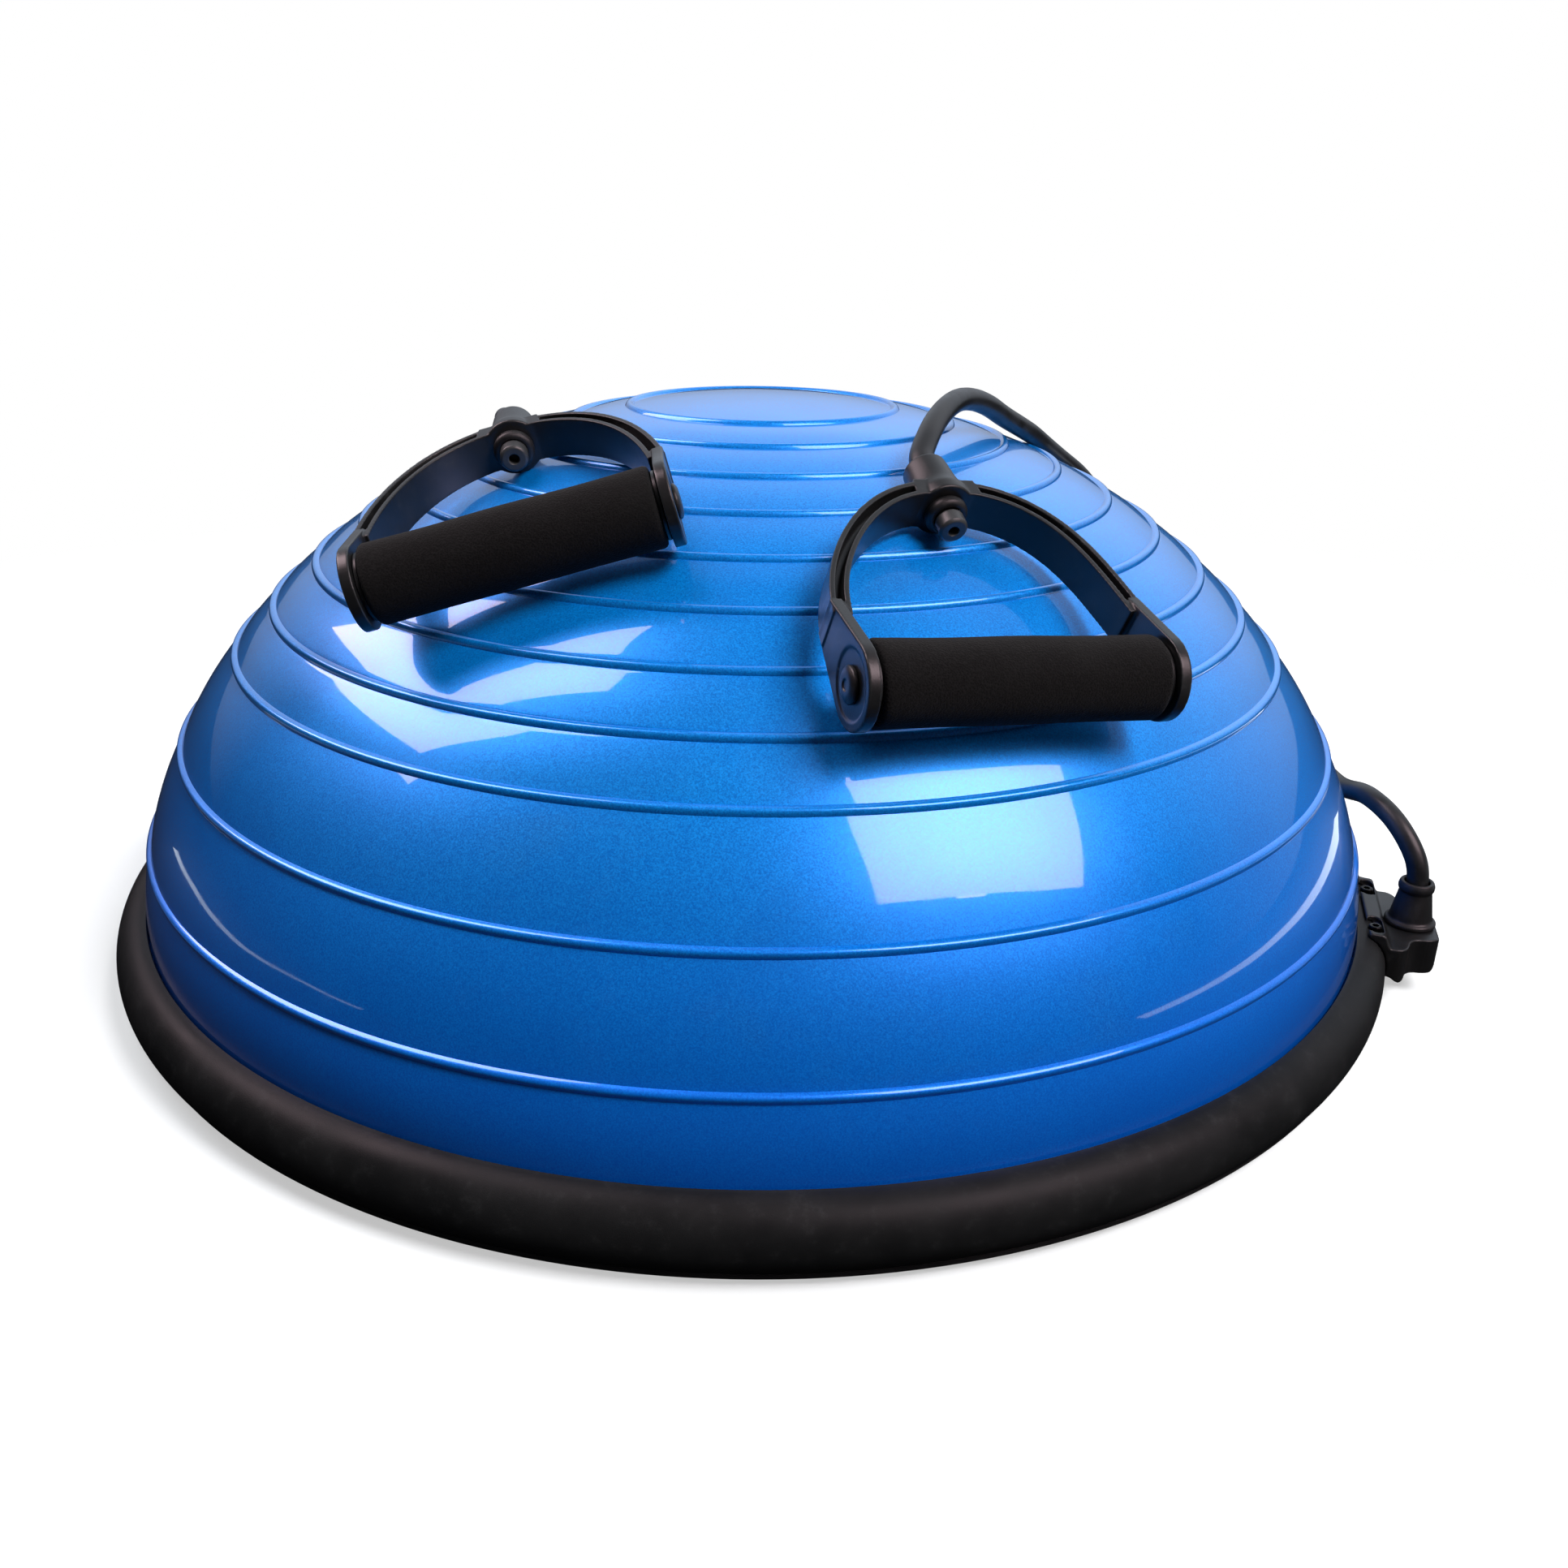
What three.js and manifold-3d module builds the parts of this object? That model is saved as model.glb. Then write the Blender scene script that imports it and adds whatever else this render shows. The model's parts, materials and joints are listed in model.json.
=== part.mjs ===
// A balance dome trainer: an inflated half-ball clamped between a moulded rim and a flat base, with
// two resistance tubes that run from anchors on the rim to D-shaped handles laid on the dome.
// Millimetres. +Z is up and z = 0 is the plane the feet rest on. +X runs through the right anchor,
// -X through the left one, and both handles lie on the -Y side.
import * as THREE from 'three';
import { mergeVertices } from 'three/addons/utils/BufferGeometryUtils.js';
import Module from 'manifold-3d';

// ---- Driving dimensions ----

// The dome's skin is a superellipse turned about Z, standing on the rim plane.
const DOME = { radius: 290, rise: 217.7, planPower: 2.07, risePower: 1.72, wall: 2 };
// Moulded rings round the dome, placed by their distance along the skin from the crown.
const BEAD = { first: 61, pitch: 26.2, narrow: 9, widePitch: 46.9, wide: 2, halfWidth: 2, height: 1.5 };
const RIM_Z = 33; // the plane where the dome's skin meets the rim
const SEAT_Z = 20; // the bladder's floor rests on the base's ribs just under this height
const RIM = { nose: 305, crest: 291, noseZ: 17, lip: 290.4, lipDepth: 2.6, inner: 292.4, bottom: 7 };
const RIM_DROPS = [4, 7.6, 10]; // heights under the nose at which the rim's lower flank is drawn
const LIP_SLOPE = 2.2; // height of the slope from the rim's lip down to its inside wall
// The bladder's straight skirt, its step out under the rim's lip, and its floor.
const SKIRT = { depth: 4.4, step: 1, clearance: 0.4, floor: 2.2 };
const BASE = { bottom: 3, top: 7, flat: 299, wallOut: 292, wallIn: 285, ribs: [205, 110], ribHalf: 1.5 };
const BASE_EDGE = { out: 1.5, up: 1.8 }; // the chamfer round the base's underside
const HUB = { outer: 22, bore: 9.2, recess: 16.5, recessTop: 6.2 };
const VALVE = { bore: 5.4, neck: 8.8, flange: 13, flangeThick: 2 };
const PLUG = { bottom: 3.4, rim: 15.6, chamfer: 0.8, disc: 2.5, stem: 5, stemTop: 20, tip: 4.2, tipTop: 25 };
const CARRY = { radius: 256, halfLength: 60, halfWidth: 17, wall: 3, top: 17 };
const FOOT = { count: 6, circle: 262, radius: 14, sunk: 1.5, gap: 0.4, chamfer: 1.2 };
const SCREW = { count: 8, first: 22.5, circle: 294.2, head: 2.9, headHeight: 2.2, shank: 1.6, hole: 1.9 };
const SOCKET = { radius: 1.4, depth: 1.3 }; // the hexagon in each screw's head
const SCREW_TOP = 18; // where the rim screws' points end
const SCREW_HEAD_ROOM = 2.4; // depth of the pockets their heads sit in
const TUBE = { radius: 4.75, bore: 2.75, layOff: 6.6, steps: 42 };
const ANCHOR = { axis: 315.5, top: 28, bottom: 11, bore: 5.5, cup: 8, cupTop: 16.5, tubeEnd: 16 };
const ANCHOR_SCREW = { x: 298, y: 20, bottom: 14, length: 18, rise: 0.7 };
const ANCHOR_SLOT = { halfWidth: 3.3, halfLength: 8, depth: 1.8 }; // the pockets round those screws' heads
const SLEEVE = { flange: 11.2, foot: 9.2, waist: 7.1, lip: 7.8, bore: 5.5, top: 49.5 };
const YOKE = { halfWidth: 58.2, height: 93, power: 2.2, thick: 7, wide: 16, flange: 2, web: 3 };
const YOKE_ENDS = 0.24; // how far the strap stops short of the grip's axis, in radians of its arch
const BOSS = { radius: 9.5, tip: 8.6, inner: 88.5, outer: 112, bore: 5.4, saddle: 13.5, saddleTop: 97 };
const PLATE = { radius: 15.6, inner: 55.3, thick: 4.3, neck: 32 };
const GRIP = { foam: 15.05, core: 11, coreBore: 9, half: 53.3, flange: 12.6, spigot: 12 };
const PIN = { radius: 3.9, start: 41, head: 6.5, headEdge: 0.9, headHeight: 1.8, play: 0.4 };
const STOP_RING = { bore: 5.3, face: 7.2, radius: 8.2, chamfer: 1 };
const TUBE_END = 83; // where each tube ends inside its handle, measured from the grip's axis
const GAP = 0.3; // clearance between pieces that are cut to fit each other
const SEAT_GAP = 0.2; // clearance between faces that would otherwise rest on each other
const OVERCUT = 10; // how far a cutting tool runs past what it cuts
const ROUND = 36; // sides of the large turned pieces

// Where each handle lies: the middle of its grip, its turn about Z, then Y, then X, and how far
// its tube has pulled the soft strap's crown along the grip.
const HANDLES = {
  right: { centre: [142.95, -185.06, 184.89], turn: [28.31, 3.86, 34.82], lean: 5 },
  left: { centre: [-37.25, -186.47, 216.9], turn: [14.25, -15.37, 20.93], lean: 0 },
};
// Each tube leaves its boss, arches freely, lies on the dome and comes down to its anchor.
// Points in the air are x, y, z; points on the dome are an azimuth and a distance from the crown.
const ROUTES = {
  right: {
    air: [[91, -76, 248.5], [92.3, -56, 254], [95, -36, 256.6], [98.5, -16, 255], [102.6, 4, 250.5],
      [107, 30, 242.6]],
    laid: [[28.4, 129], [35.5, 144], [40, 160], [42.2, 178], [42.6, 192], [44.5, 212], [47.5, 236],
      [51, 258], [54, 280], [56, 301], [56.5, 323], [53, 346], [43, 362], [32, 366], [23, 364]],
  },
  left: {
    air: [[-90.6, -71, 243.8], [-97.3, -57.5, 241.3], [-105, -44, 239.4]],
    laid: [[194.4, 119], [185.2, 125.2], [176.1, 134.7], [167.8, 146.6], [160, 161.3], [153, 177],
      [146, 196], [140, 215], [135.5, 236], [133, 256], [133, 277], [135.5, 300], [140, 323],
      [147, 346], [156.5, 362]],
  },
};
// The last free arc into the right anchor's sleeve; the left one is its mirror image.
const LAST_ARC = [[283.6, 70.5, 66], [286.4, 54, 70], [292.7, 28, 77.3], [302, 13, 73.9],
  [309.9, 4.5, 65.1], [314.4, 1, 56.6]];

// ---- Solids ----

const wasm = await Module();
wasm.setup();

const X = new THREE.Vector3(1, 0, 0);
const Y = new THREE.Vector3(0, 1, 0);
const Z = new THREE.Vector3(0, 0, 1);
const ALONG_X = new THREE.Matrix4().makeBasis(Y, Z, X); // turns a shape built along Z to run along X
const ALONG_Y = new THREE.Matrix4().makeBasis(Z, X, Y);

function signedVolume(position, corners) {
  const [a, b, c] = [new THREE.Vector3(), new THREE.Vector3(), new THREE.Vector3()];
  let volume = 0;
  for (let i = 0; i < corners.length; i += 3) {
    a.fromBufferAttribute(position, corners[i]);
    b.fromBufferAttribute(position, corners[i + 1]);
    c.fromBufferAttribute(position, corners[i + 2]);
    volume += a.dot(b.cross(c)) / 6;
  }
  return volume;
}

// One closed surface facing out, with shared corners merged and collapsed faces dropped.
function closed(geometry) {
  const bare = new THREE.BufferGeometry();
  bare.setAttribute('position', geometry.getAttribute('position'));
  bare.setIndex(geometry.index);
  const welded = mergeVertices(bare, 1e-4);
  const all = welded.index.array;
  const corners = [];
  for (let i = 0; i < all.length; i += 3) {
    const [a, b, c] = [all[i], all[i + 1], all[i + 2]];
    if (a !== b && b !== c && c !== a) corners.push(a, b, c);
  }
  if (signedVolume(welded.attributes.position, corners) < 0) corners.reverse();
  welded.setIndex(corners);
  welded.computeVertexNormals();
  return welded;
}

function toSolid(geometry) {
  const body = closed(geometry);
  return new wasm.Manifold(new wasm.Mesh({
    numProp: 3,
    vertProperties: body.attributes.position.array,
    triVerts: new Uint32Array(body.index.array),
  }));
}

function toGeometry(solid) {
  const mesh = solid.getMesh();
  const geometry = new THREE.BufferGeometry();
  geometry.setAttribute('position', new THREE.BufferAttribute(mesh.vertProperties, 3));
  geometry.setIndex(new THREE.BufferAttribute(mesh.triVerts, 1));
  geometry.computeVertexNormals();
  return geometry;
}

// The added geometries joined to the base one, then the cut ones taken away.
function carve(base, added, cuts) {
  let solid = toSolid(base);
  for (const geometry of added) solid = solid.add(toSolid(geometry));
  for (const geometry of cuts) solid = solid.subtract(toSolid(geometry));
  return toGeometry(solid);
}

// A profile of [radius, height] points turned about Z.
function revolve(profile, sides = ROUND) {
  const points = profile.map(([radius, height]) => new THREE.Vector2(radius, height));
  return closed(new THREE.LatheGeometry(points, sides).rotateX(Math.PI / 2));
}

// A profile that doesn't touch the axis, closed on itself.
function revolveRing(profile, sides = ROUND) {
  return revolve([...profile, profile[0]], sides);
}

function rod(radius, low, high, sides = 16, topRadius = radius) {
  const cylinder = new THREE.CylinderGeometry(topRadius, radius, high - low, sides);
  return cylinder.rotateX(Math.PI / 2).translate(0, 0, (low + high) / 2);
}

function block(low, high) {
  const size = high.map((value, i) => value - low[i]);
  const middle = high.map((value, i) => (value + low[i]) / 2);
  return new THREE.BoxGeometry(...size).translate(...middle);
}

// An outline in X and Y pushed up from low to high.
function prism(shape, low, high, curveSegments = 6) {
  const options = { depth: high - low, bevelEnabled: false, curveSegments };
  return new THREE.ExtrudeGeometry(shape, options).translate(0, 0, low);
}

// A slot shape with round ends, its long side along Y.
function slot(x, y, halfWidth, halfLength) {
  const straight = halfLength - halfWidth;
  const shape = new THREE.Shape();
  shape.absarc(x, y + straight, halfWidth, 0, Math.PI, false);
  shape.absarc(x, y - straight, halfWidth, Math.PI, 2 * Math.PI, false);
  return shape;
}

function aroundZ(geometry, degrees) {
  return geometry.rotateZ(THREE.MathUtils.degToRad(degrees));
}

function turned(count, start, make) {
  return Array.from({ length: count }, (_, i) => aroundZ(make(), start + (i * 360) / count));
}

// ---- The dome's skin ----

const QUARTER = Math.PI / 2;

function skin(angle, offset = 0) {
  const at = (t) => new THREE.Vector2(
    DOME.radius * Math.max(Math.cos(t), 0) ** (2 / DOME.planPower),
    RIM_Z + DOME.rise * Math.max(Math.sin(t), 0) ** (2 / DOME.risePower),
  );
  const near = THREE.MathUtils.clamp(angle, 1e-4, QUARTER - 1e-4);
  const run = at(near + 1e-5).sub(at(near - 1e-5)).normalize();
  return at(angle).add(new THREE.Vector2(run.y, -run.x).multiplyScalar(offset));
}

// Distances along the skin from the crown, one entry for each of many even steps in angle.
const ARC_STEPS = 2000;
const ARCS = [0];
for (let i = 1; i <= ARC_STEPS; i += 1) {
  const from = skin(QUARTER * (1 - (i - 1) / ARC_STEPS));
  const to = skin(QUARTER * (1 - i / ARC_STEPS));
  ARCS.push(ARCS[i - 1] + from.distanceTo(to));
}
const ARC_TOTAL = ARCS[ARC_STEPS];

// The skin's [radius, height] at a distance from the crown, pushed out by offset.
function skinAt(distance, offset = 0) {
  const next = ARCS.findIndex((arc) => arc >= distance);
  const step = next < 0 ? ARC_STEPS : next;
  const point = skin(QUARTER * (1 - step / ARC_STEPS), offset);
  return [step === 0 ? 0 : point.x, point.y];
}

function onDome([azimuth, distance], offset) {
  const [radius, height] = skinAt(distance, offset);
  const angle = THREE.MathUtils.degToRad(azimuth);
  return new THREE.Vector3(radius * Math.cos(angle), radius * Math.sin(angle), height);
}

function beadDistances() {
  const distances = [];
  for (let i = 0; i < BEAD.narrow; i += 1) distances.push(BEAD.first + i * BEAD.pitch);
  for (let i = 1; i <= BEAD.wide; i += 1) {
    distances.push(BEAD.first + (BEAD.narrow - 1) * BEAD.pitch + i * BEAD.widePitch);
  }
  return distances;
}

// ---- The dome, the rim and the base ----

// A hollow shell. Its floor is open round the valve, so its inside is not sealed.
function domeBladder() {
  const edge = DOME.radius;
  const skirt = RIM.inner - SKIRT.clearance;
  const skirtTop = RIM_Z - SKIRT.depth;
  const floorTop = SEAT_Z + SKIRT.floor;
  const outer = [[0, RIM_Z + DOME.rise]];
  let last = 0;
  for (const distance of beadDistances()) {
    if (distance - last > 1.2 * BEAD.pitch) outer.push(skinAt((distance + last) / 2));
    outer.push(skinAt(distance - BEAD.halfWidth), skinAt(distance, BEAD.height));
    outer.push(skinAt(distance + BEAD.halfWidth));
    last = distance;
  }
  const clamp = [[edge, RIM_Z], [edge, skirtTop], [skirt, skirtTop - SKIRT.step], [skirt, SEAT_Z]];
  const floor = [[HUB.bore, SEAT_Z], [HUB.bore, floorTop], [edge - DOME.wall, floorTop]];
  const inner = [[edge - DOME.wall, RIM_Z]];
  const innerSteps = 7;
  for (let i = innerSteps - 1; i > 0; i -= 1) {
    inner.push(skinAt((ARC_TOTAL * i) / innerSteps, -DOME.wall));
  }
  return revolve([...outer, ...clamp, ...floor, ...inner, [0, RIM_Z + DOME.rise - DOME.wall]]);
}

// The rim's rounded outside, grown by extra for cutting its neighbours.
function rimOutside(extra) {
  const points = [];
  const height = RIM_Z - RIM.noseZ;
  const reach = RIM.nose - RIM.crest;
  const steps = 5;
  for (let i = 0; i <= steps; i += 1) {
    const angle = QUARTER * (1 - i / steps);
    const radius = RIM.crest + (reach + extra) * Math.cos(angle);
    points.push([radius, RIM.noseZ + (height + extra) * Math.sin(angle)]);
  }
  for (const drop of RIM_DROPS) {
    points.push([RIM.crest + extra + Math.sqrt(reach ** 2 - drop ** 2), RIM.noseZ - drop]);
  }
  return points;
}

function retainingRing() {
  const lip = [[RIM.lip, RIM_Z - RIM.lipDepth], [RIM.lip, RIM_Z]];
  const inside = [[RIM.inner, RIM.bottom], [RIM.inner, RIM_Z - RIM.lipDepth - LIP_SLOPE]];
  const body = revolveRing([...rimOutside(0), ...inside, ...lip]);
  const blind = () => rod(SCREW.hole, RIM.bottom - OVERCUT, SCREW_TOP + 1, 8)
    .translate(SCREW.circle, 0, 0);
  const fromTop = (side, way) => rod(SCREW.hole, ANCHOR_SCREW.bottom, RIM_Z + OVERCUT, 8)
    .translate(side * ANCHOR_SCREW.x, way * ANCHOR_SCREW.y, 0);
  const anchors = [[1, 1], [1, -1], [-1, 1], [-1, -1]].map(([side, way]) => fromTop(side, way));
  return carve(body, [], [...turned(SCREW.count, SCREW.first, blind), ...anchors]);
}

function basePlatform() {
  const floorTop = SEAT_Z - SEAT_GAP;
  const ribs = BASE.ribs.flatMap((radius) => [
    [radius + BASE.ribHalf, BASE.top], [radius + BASE.ribHalf, floorTop],
    [radius - BASE.ribHalf, floorTop], [radius - BASE.ribHalf, BASE.top],
  ]);
  const body = revolveRing([
    [HUB.bore, HUB.recessTop], [HUB.recess, HUB.recessTop], [HUB.recess, BASE.bottom],
    [BASE.flat, BASE.bottom], [BASE.flat + BASE_EDGE.out, BASE.bottom + BASE_EDGE.up],
    [BASE.flat + BASE_EDGE.out, BASE.top],
    [BASE.wallOut, BASE.top], [BASE.wallOut, floorTop], [BASE.wallIn, floorTop],
    [BASE.wallIn, BASE.top], ...ribs, [HUB.outer, BASE.top], [HUB.outer, floorTop],
    [HUB.bore, floorTop],
  ]);
  const pocketWall = () => prism(
    slot(CARRY.radius, 0, CARRY.halfWidth + CARRY.wall, CARRY.halfLength + CARRY.wall),
    BASE.top - 1, floorTop,
  );
  const pocket = () => prism(
    slot(CARRY.radius, 0, CARRY.halfWidth, CARRY.halfLength), BASE.bottom - OVERCUT, CARRY.top,
  );
  const footHole = () => rod(FOOT.radius + FOOT.gap, 0, BASE.bottom + FOOT.sunk, 16)
    .translate(FOOT.circle, 0, 0);
  const headHole = () => rod(SCREW.head + GAP, 0, BASE.bottom + SCREW_HEAD_ROOM, 12)
    .translate(SCREW.circle, 0, 0);
  const shankHole = () => rod(SCREW.hole, 0, BASE.top + 1, 8).translate(SCREW.circle, 0, 0);
  return carve(body, turned(2, 90, pocketWall), [
    ...turned(2, 90, pocket),
    ...turned(FOOT.count, 0, footHole),
    ...turned(SCREW.count, SCREW.first, headHole),
    ...turned(SCREW.count, SCREW.first, shankHole),
  ]);
}

// A countersunk-depth screw with a hexagon socket, head down at z = 0 and its shank pointing up.
function screw(length) {
  const shank = rod(SCREW.shank, SCREW.headHeight / 2, length, 6);
  const socket = rod(SOCKET.radius, -OVERCUT, SOCKET.depth, 6);
  return carve(rod(SCREW.head, 0, SCREW.headHeight, 10), [shank], [socket]);
}

function footPad() {
  const { radius, chamfer } = FOOT;
  const top = BASE.bottom + FOOT.sunk;
  return revolve([[0, 0], [radius - chamfer, 0], [radius, chamfer], [radius, top], [0, top]], 16);
}

function valveSeat() {
  const low = HUB.recessTop + GAP;
  const seatZ = SEAT_Z + SKIRT.floor + 0.1;
  const top = seatZ + VALVE.flangeThick;
  return revolveRing([
    [VALVE.bore, low], [VALVE.neck, low], [VALVE.neck, seatZ], [VALVE.flange, seatZ],
    [VALVE.flange, top], [VALVE.bore, top],
  ], 16);
}

function airPlug() {
  const { bottom, rim, chamfer, stem } = PLUG;
  const discTop = bottom + PLUG.disc;
  return revolve([
    [0, bottom], [rim - 2 * chamfer, bottom], [rim, bottom + chamfer], [rim, discTop], [stem, discTop],
    [stem, PLUG.stemTop], [PLUG.tip, PLUG.tipTop], [0, PLUG.tipTop],
  ], 16);
}

// ---- Anchors: pieces for the right-hand side, which the left-hand group turns half round ----

function bracketOutline() {
  const shape = new THREE.Shape();
  shape.moveTo(293, -31);
  shape.lineTo(307, -31);
  shape.quadraticCurveTo(311.5, -31, 313, -24);
  shape.quadraticCurveTo(314, -18, 319, -17.5);
  shape.quadraticCurveTo(327.5, -17, 327.5, -9);
  shape.lineTo(327.5, 9);
  shape.quadraticCurveTo(327.5, 17, 319, 17.5);
  shape.quadraticCurveTo(314, 18, 313, 24);
  shape.quadraticCurveTo(311.5, 31, 307, 31);
  shape.lineTo(293, 31);
  shape.closePath();
  return shape;
}

// The bracket seen from its side: radius along X and height along Y.
function bracketSide() {
  const { top, bottom } = ANCHOR;
  const points = [
    [294.5, RIM_Z + 1.6], [301.5, RIM_Z + 0.9], [303.4, top + 1], [304, top], [326.5, top],
    [328, top - 1.5], [328, bottom + 2.5], [325.5, bottom], [310, bottom], [305.5, bottom + 3],
    [300, bottom + 3], [294.5, 25],
  ];
  return new THREE.Shape(points.map(([x, y]) => new THREE.Vector2(x, y)));
}

function anchorBracket() {
  const halfSpan = 34;
  const highest = RIM_Z + OVERCUT;
  const plan = prism(bracketOutline(), 0, highest, 4);
  const sideToSide = new THREE.Matrix4().makeBasis(X, Z, Y);
  const side = prism(bracketSide(), -halfSpan, halfSpan).applyMatrix4(sideToSide);
  const inside = [[RIM.crest - 2, RIM.bottom], [RIM.crest - 2, RIM_Z + GAP]];
  const rim = revolveRing([...rimOutside(GAP), ...inside]);
  const cuts = [
    rim,
    rod(ANCHOR.bore, 0, highest).translate(ANCHOR.axis, 0, 0),
    rod(ANCHOR.cup, 0, ANCHOR.cupTop).translate(ANCHOR.axis, 0, 0),
  ];
  for (const way of [-1, 1]) {
    const y = way * ANCHOR_SCREW.y;
    const pocket = slot(ANCHOR_SCREW.x, y, ANCHOR_SLOT.halfWidth, ANCHOR_SLOT.halfLength);
    cuts.push(prism(pocket, RIM_Z - ANCHOR_SLOT.depth, highest));
    cuts.push(rod(SCREW.hole, SEAT_Z, highest, 8).translate(ANCHOR_SCREW.x, y, 0));
  }
  let solid = toSolid(plan).intersect(toSolid(side));
  for (const geometry of cuts) solid = solid.subtract(toSolid(geometry));
  return toGeometry(solid);
}

function anchorSleeve() {
  const low = ANCHOR.top + SEAT_GAP;
  const { flange, foot, waist, lip, bore, top } = SLEEVE;
  return revolveRing([
    [bore, low], [flange, low], [flange, low + 1.8], [foot, low + 3.4], [waist, top - 4.6],
    [lip, top - 3.6], [lip, top - 1], [waist, top], [bore, top],
  ], 16);
}

// A plug pressed into a tube's end: its head hangs below 0 with a blind hole, its stem stands above.
function tubePlug(head, headHeight, stemLength) {
  const holeTop = -1.2;
  return revolve([
    [0, stemLength], [2.2, stemLength], [2.2, 0], [head, 0], [head, 0.8 - headHeight],
    [head - 0.8, -headHeight], [2, -headHeight], [2, holeTop], [0, holeTop],
  ], 12);
}

// ---- Handles: each lies in its own X-Y plane, with the grip's axis along X at the origin ----

class Arch extends THREE.Curve {
  constructor(lean) {
    super();
    this.lean = lean;
  }

  getPoint(t) {
    const angle = Math.PI - YOKE_ENDS - t * (Math.PI - 2 * YOKE_ENDS);
    const power = 2 / YOKE.power;
    const across = Math.sign(Math.cos(angle)) * Math.abs(Math.cos(angle)) ** power;
    const up = Math.sin(angle) ** power;
    const pulled = this.lean * THREE.MathUtils.smoothstep(up, PLATE.neck / YOKE.height, 1);
    return new THREE.Vector3(YOKE.halfWidth * across + pulled, YOKE.height * up, 0);
  }
}

// The strap's section: two walls joined by a web, open on both faces.
function strapSection() {
  const w = YOKE.wide / 2;
  const t = YOKE.thick / 2;
  const f = t - YOKE.flange;
  const web = YOKE.web / 2;
  const corners = [
    [-w, -t], [w, -t], [w, -f], [web, -f], [web, f], [w, f],
    [w, t], [-w, t], [-w, f], [-web, f], [-web, -f], [-w, -f],
  ];
  return new THREE.Shape(corners.map(([x, y]) => new THREE.Vector2(x, y)));
}

// The end plate: a disc drawn out to the strap's width.
function plateShape() {
  const half = YOKE.wide / 2;
  const spread = Math.acos(PLATE.radius / Math.hypot(PLATE.neck, half));
  const angle = Math.atan2(half, PLATE.neck) + spread;
  const shape = new THREE.Shape();
  shape.moveTo(PLATE.neck, -half);
  shape.lineTo(PLATE.neck, half);
  shape.absarc(0, 0, PLATE.radius, angle, 2 * Math.PI - angle, false);
  shape.closePath();
  return shape;
}

function handleYoke(lean) {
  const { inner, outer, saddle, saddleTop } = BOSS;
  const half = YOKE.wide / 2;
  const strap = new THREE.ExtrudeGeometry(strapSection(), { steps: 22, extrudePath: new Arch(lean) });
  const bore = rod(BOSS.bore, inner - OVERCUT, outer + OVERCUT).applyMatrix4(ALONG_Y);
  const pinReach = PLATE.inner + PLATE.thick + OVERCUT;
  const pinHole = rod(PIN.radius + PIN.play, -pinReach, pinReach).applyMatrix4(ALONG_X);
  const added = [
    rod(BOSS.radius, inner, outer, 20, BOSS.tip).applyMatrix4(ALONG_Y).translate(lean, 0, 0),
    block([lean - saddle, inner, -half], [lean + saddle, saddleTop, half]),
  ];
  for (const low of [PLATE.inner, -PLATE.inner - PLATE.thick]) {
    added.push(prism(plateShape(), low, low + PLATE.thick, 18).applyMatrix4(ALONG_X));
  }
  return carve(strap, added, [bore.translate(lean, 0, 0), pinHole]);
}

function foamGrip() {
  const { foam, core, half } = GRIP;
  const bore = core + GAP;
  return revolveRing([
    [bore, -half], [foam - 1, -half], [foam, 1 - half], [foam, half - 1], [foam - 1, half],
    [bore, half],
  ], 20).applyMatrix4(ALONG_X);
}

function gripCore() {
  const { core, coreBore, half } = GRIP;
  const tube = [[coreBore, -half], [core, -half], [core, half], [coreBore, half]];
  return revolveRing(tube, 16).applyMatrix4(ALONG_X);
}

// The bearing at a grip's end: its flange faces the yoke and its spigot fills the core.
function gripBush() {
  const { flange, half, coreBore } = GRIP;
  const face = PLATE.inner - GAP;
  const bore = PIN.radius + PIN.play;
  const spigot = coreBore - GAP;
  const start = half - GRIP.spigot;
  return revolveRing([
    [bore, start], [spigot, start], [spigot, half + GAP], [flange, half + GAP], [flange, face],
    [bore, face],
  ], 16).applyMatrix4(ALONG_X);
}

function pivotPin() {
  const { radius, start, head, headEdge, headHeight } = PIN;
  const face = PLATE.inner + PLATE.thick + GAP;
  return revolve([
    [0, start], [radius, start], [radius, face], [head, face], [head, face + headEdge],
    [head - headEdge, face + headHeight], [0, face + headHeight],
  ], 12).applyMatrix4(ALONG_X);
}

function stopRing() {
  const { bore, face, radius, chamfer } = STOP_RING;
  const low = TUBE_END + 2 * GAP;
  const high = BOSS.inner - GAP;
  return revolveRing([
    [bore, low], [face, low], [radius, low + chamfer], [radius, high - chamfer],
    [radius - chamfer / 2, high], [bore, high],
  ], 16).applyMatrix4(ALONG_Y);
}

function tubeStopper() {
  return tubePlug(5.6, 6.2, 13).applyMatrix4(ALONG_Y).translate(0, TUBE_END - GAP, 0);
}

// ---- Tubes ----

function tubeSection() {
  const corners = (radius, sides) => Array.from({ length: sides }, (_, i) => {
    const angle = (2 * Math.PI * i) / sides;
    return new THREE.Vector2(radius * Math.cos(angle), radius * Math.sin(angle));
  });
  const shape = new THREE.Shape(corners(TUBE.radius, 8));
  shape.holes.push(new THREE.Path(corners(TUBE.bore, 6)));
  return shape;
}

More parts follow.
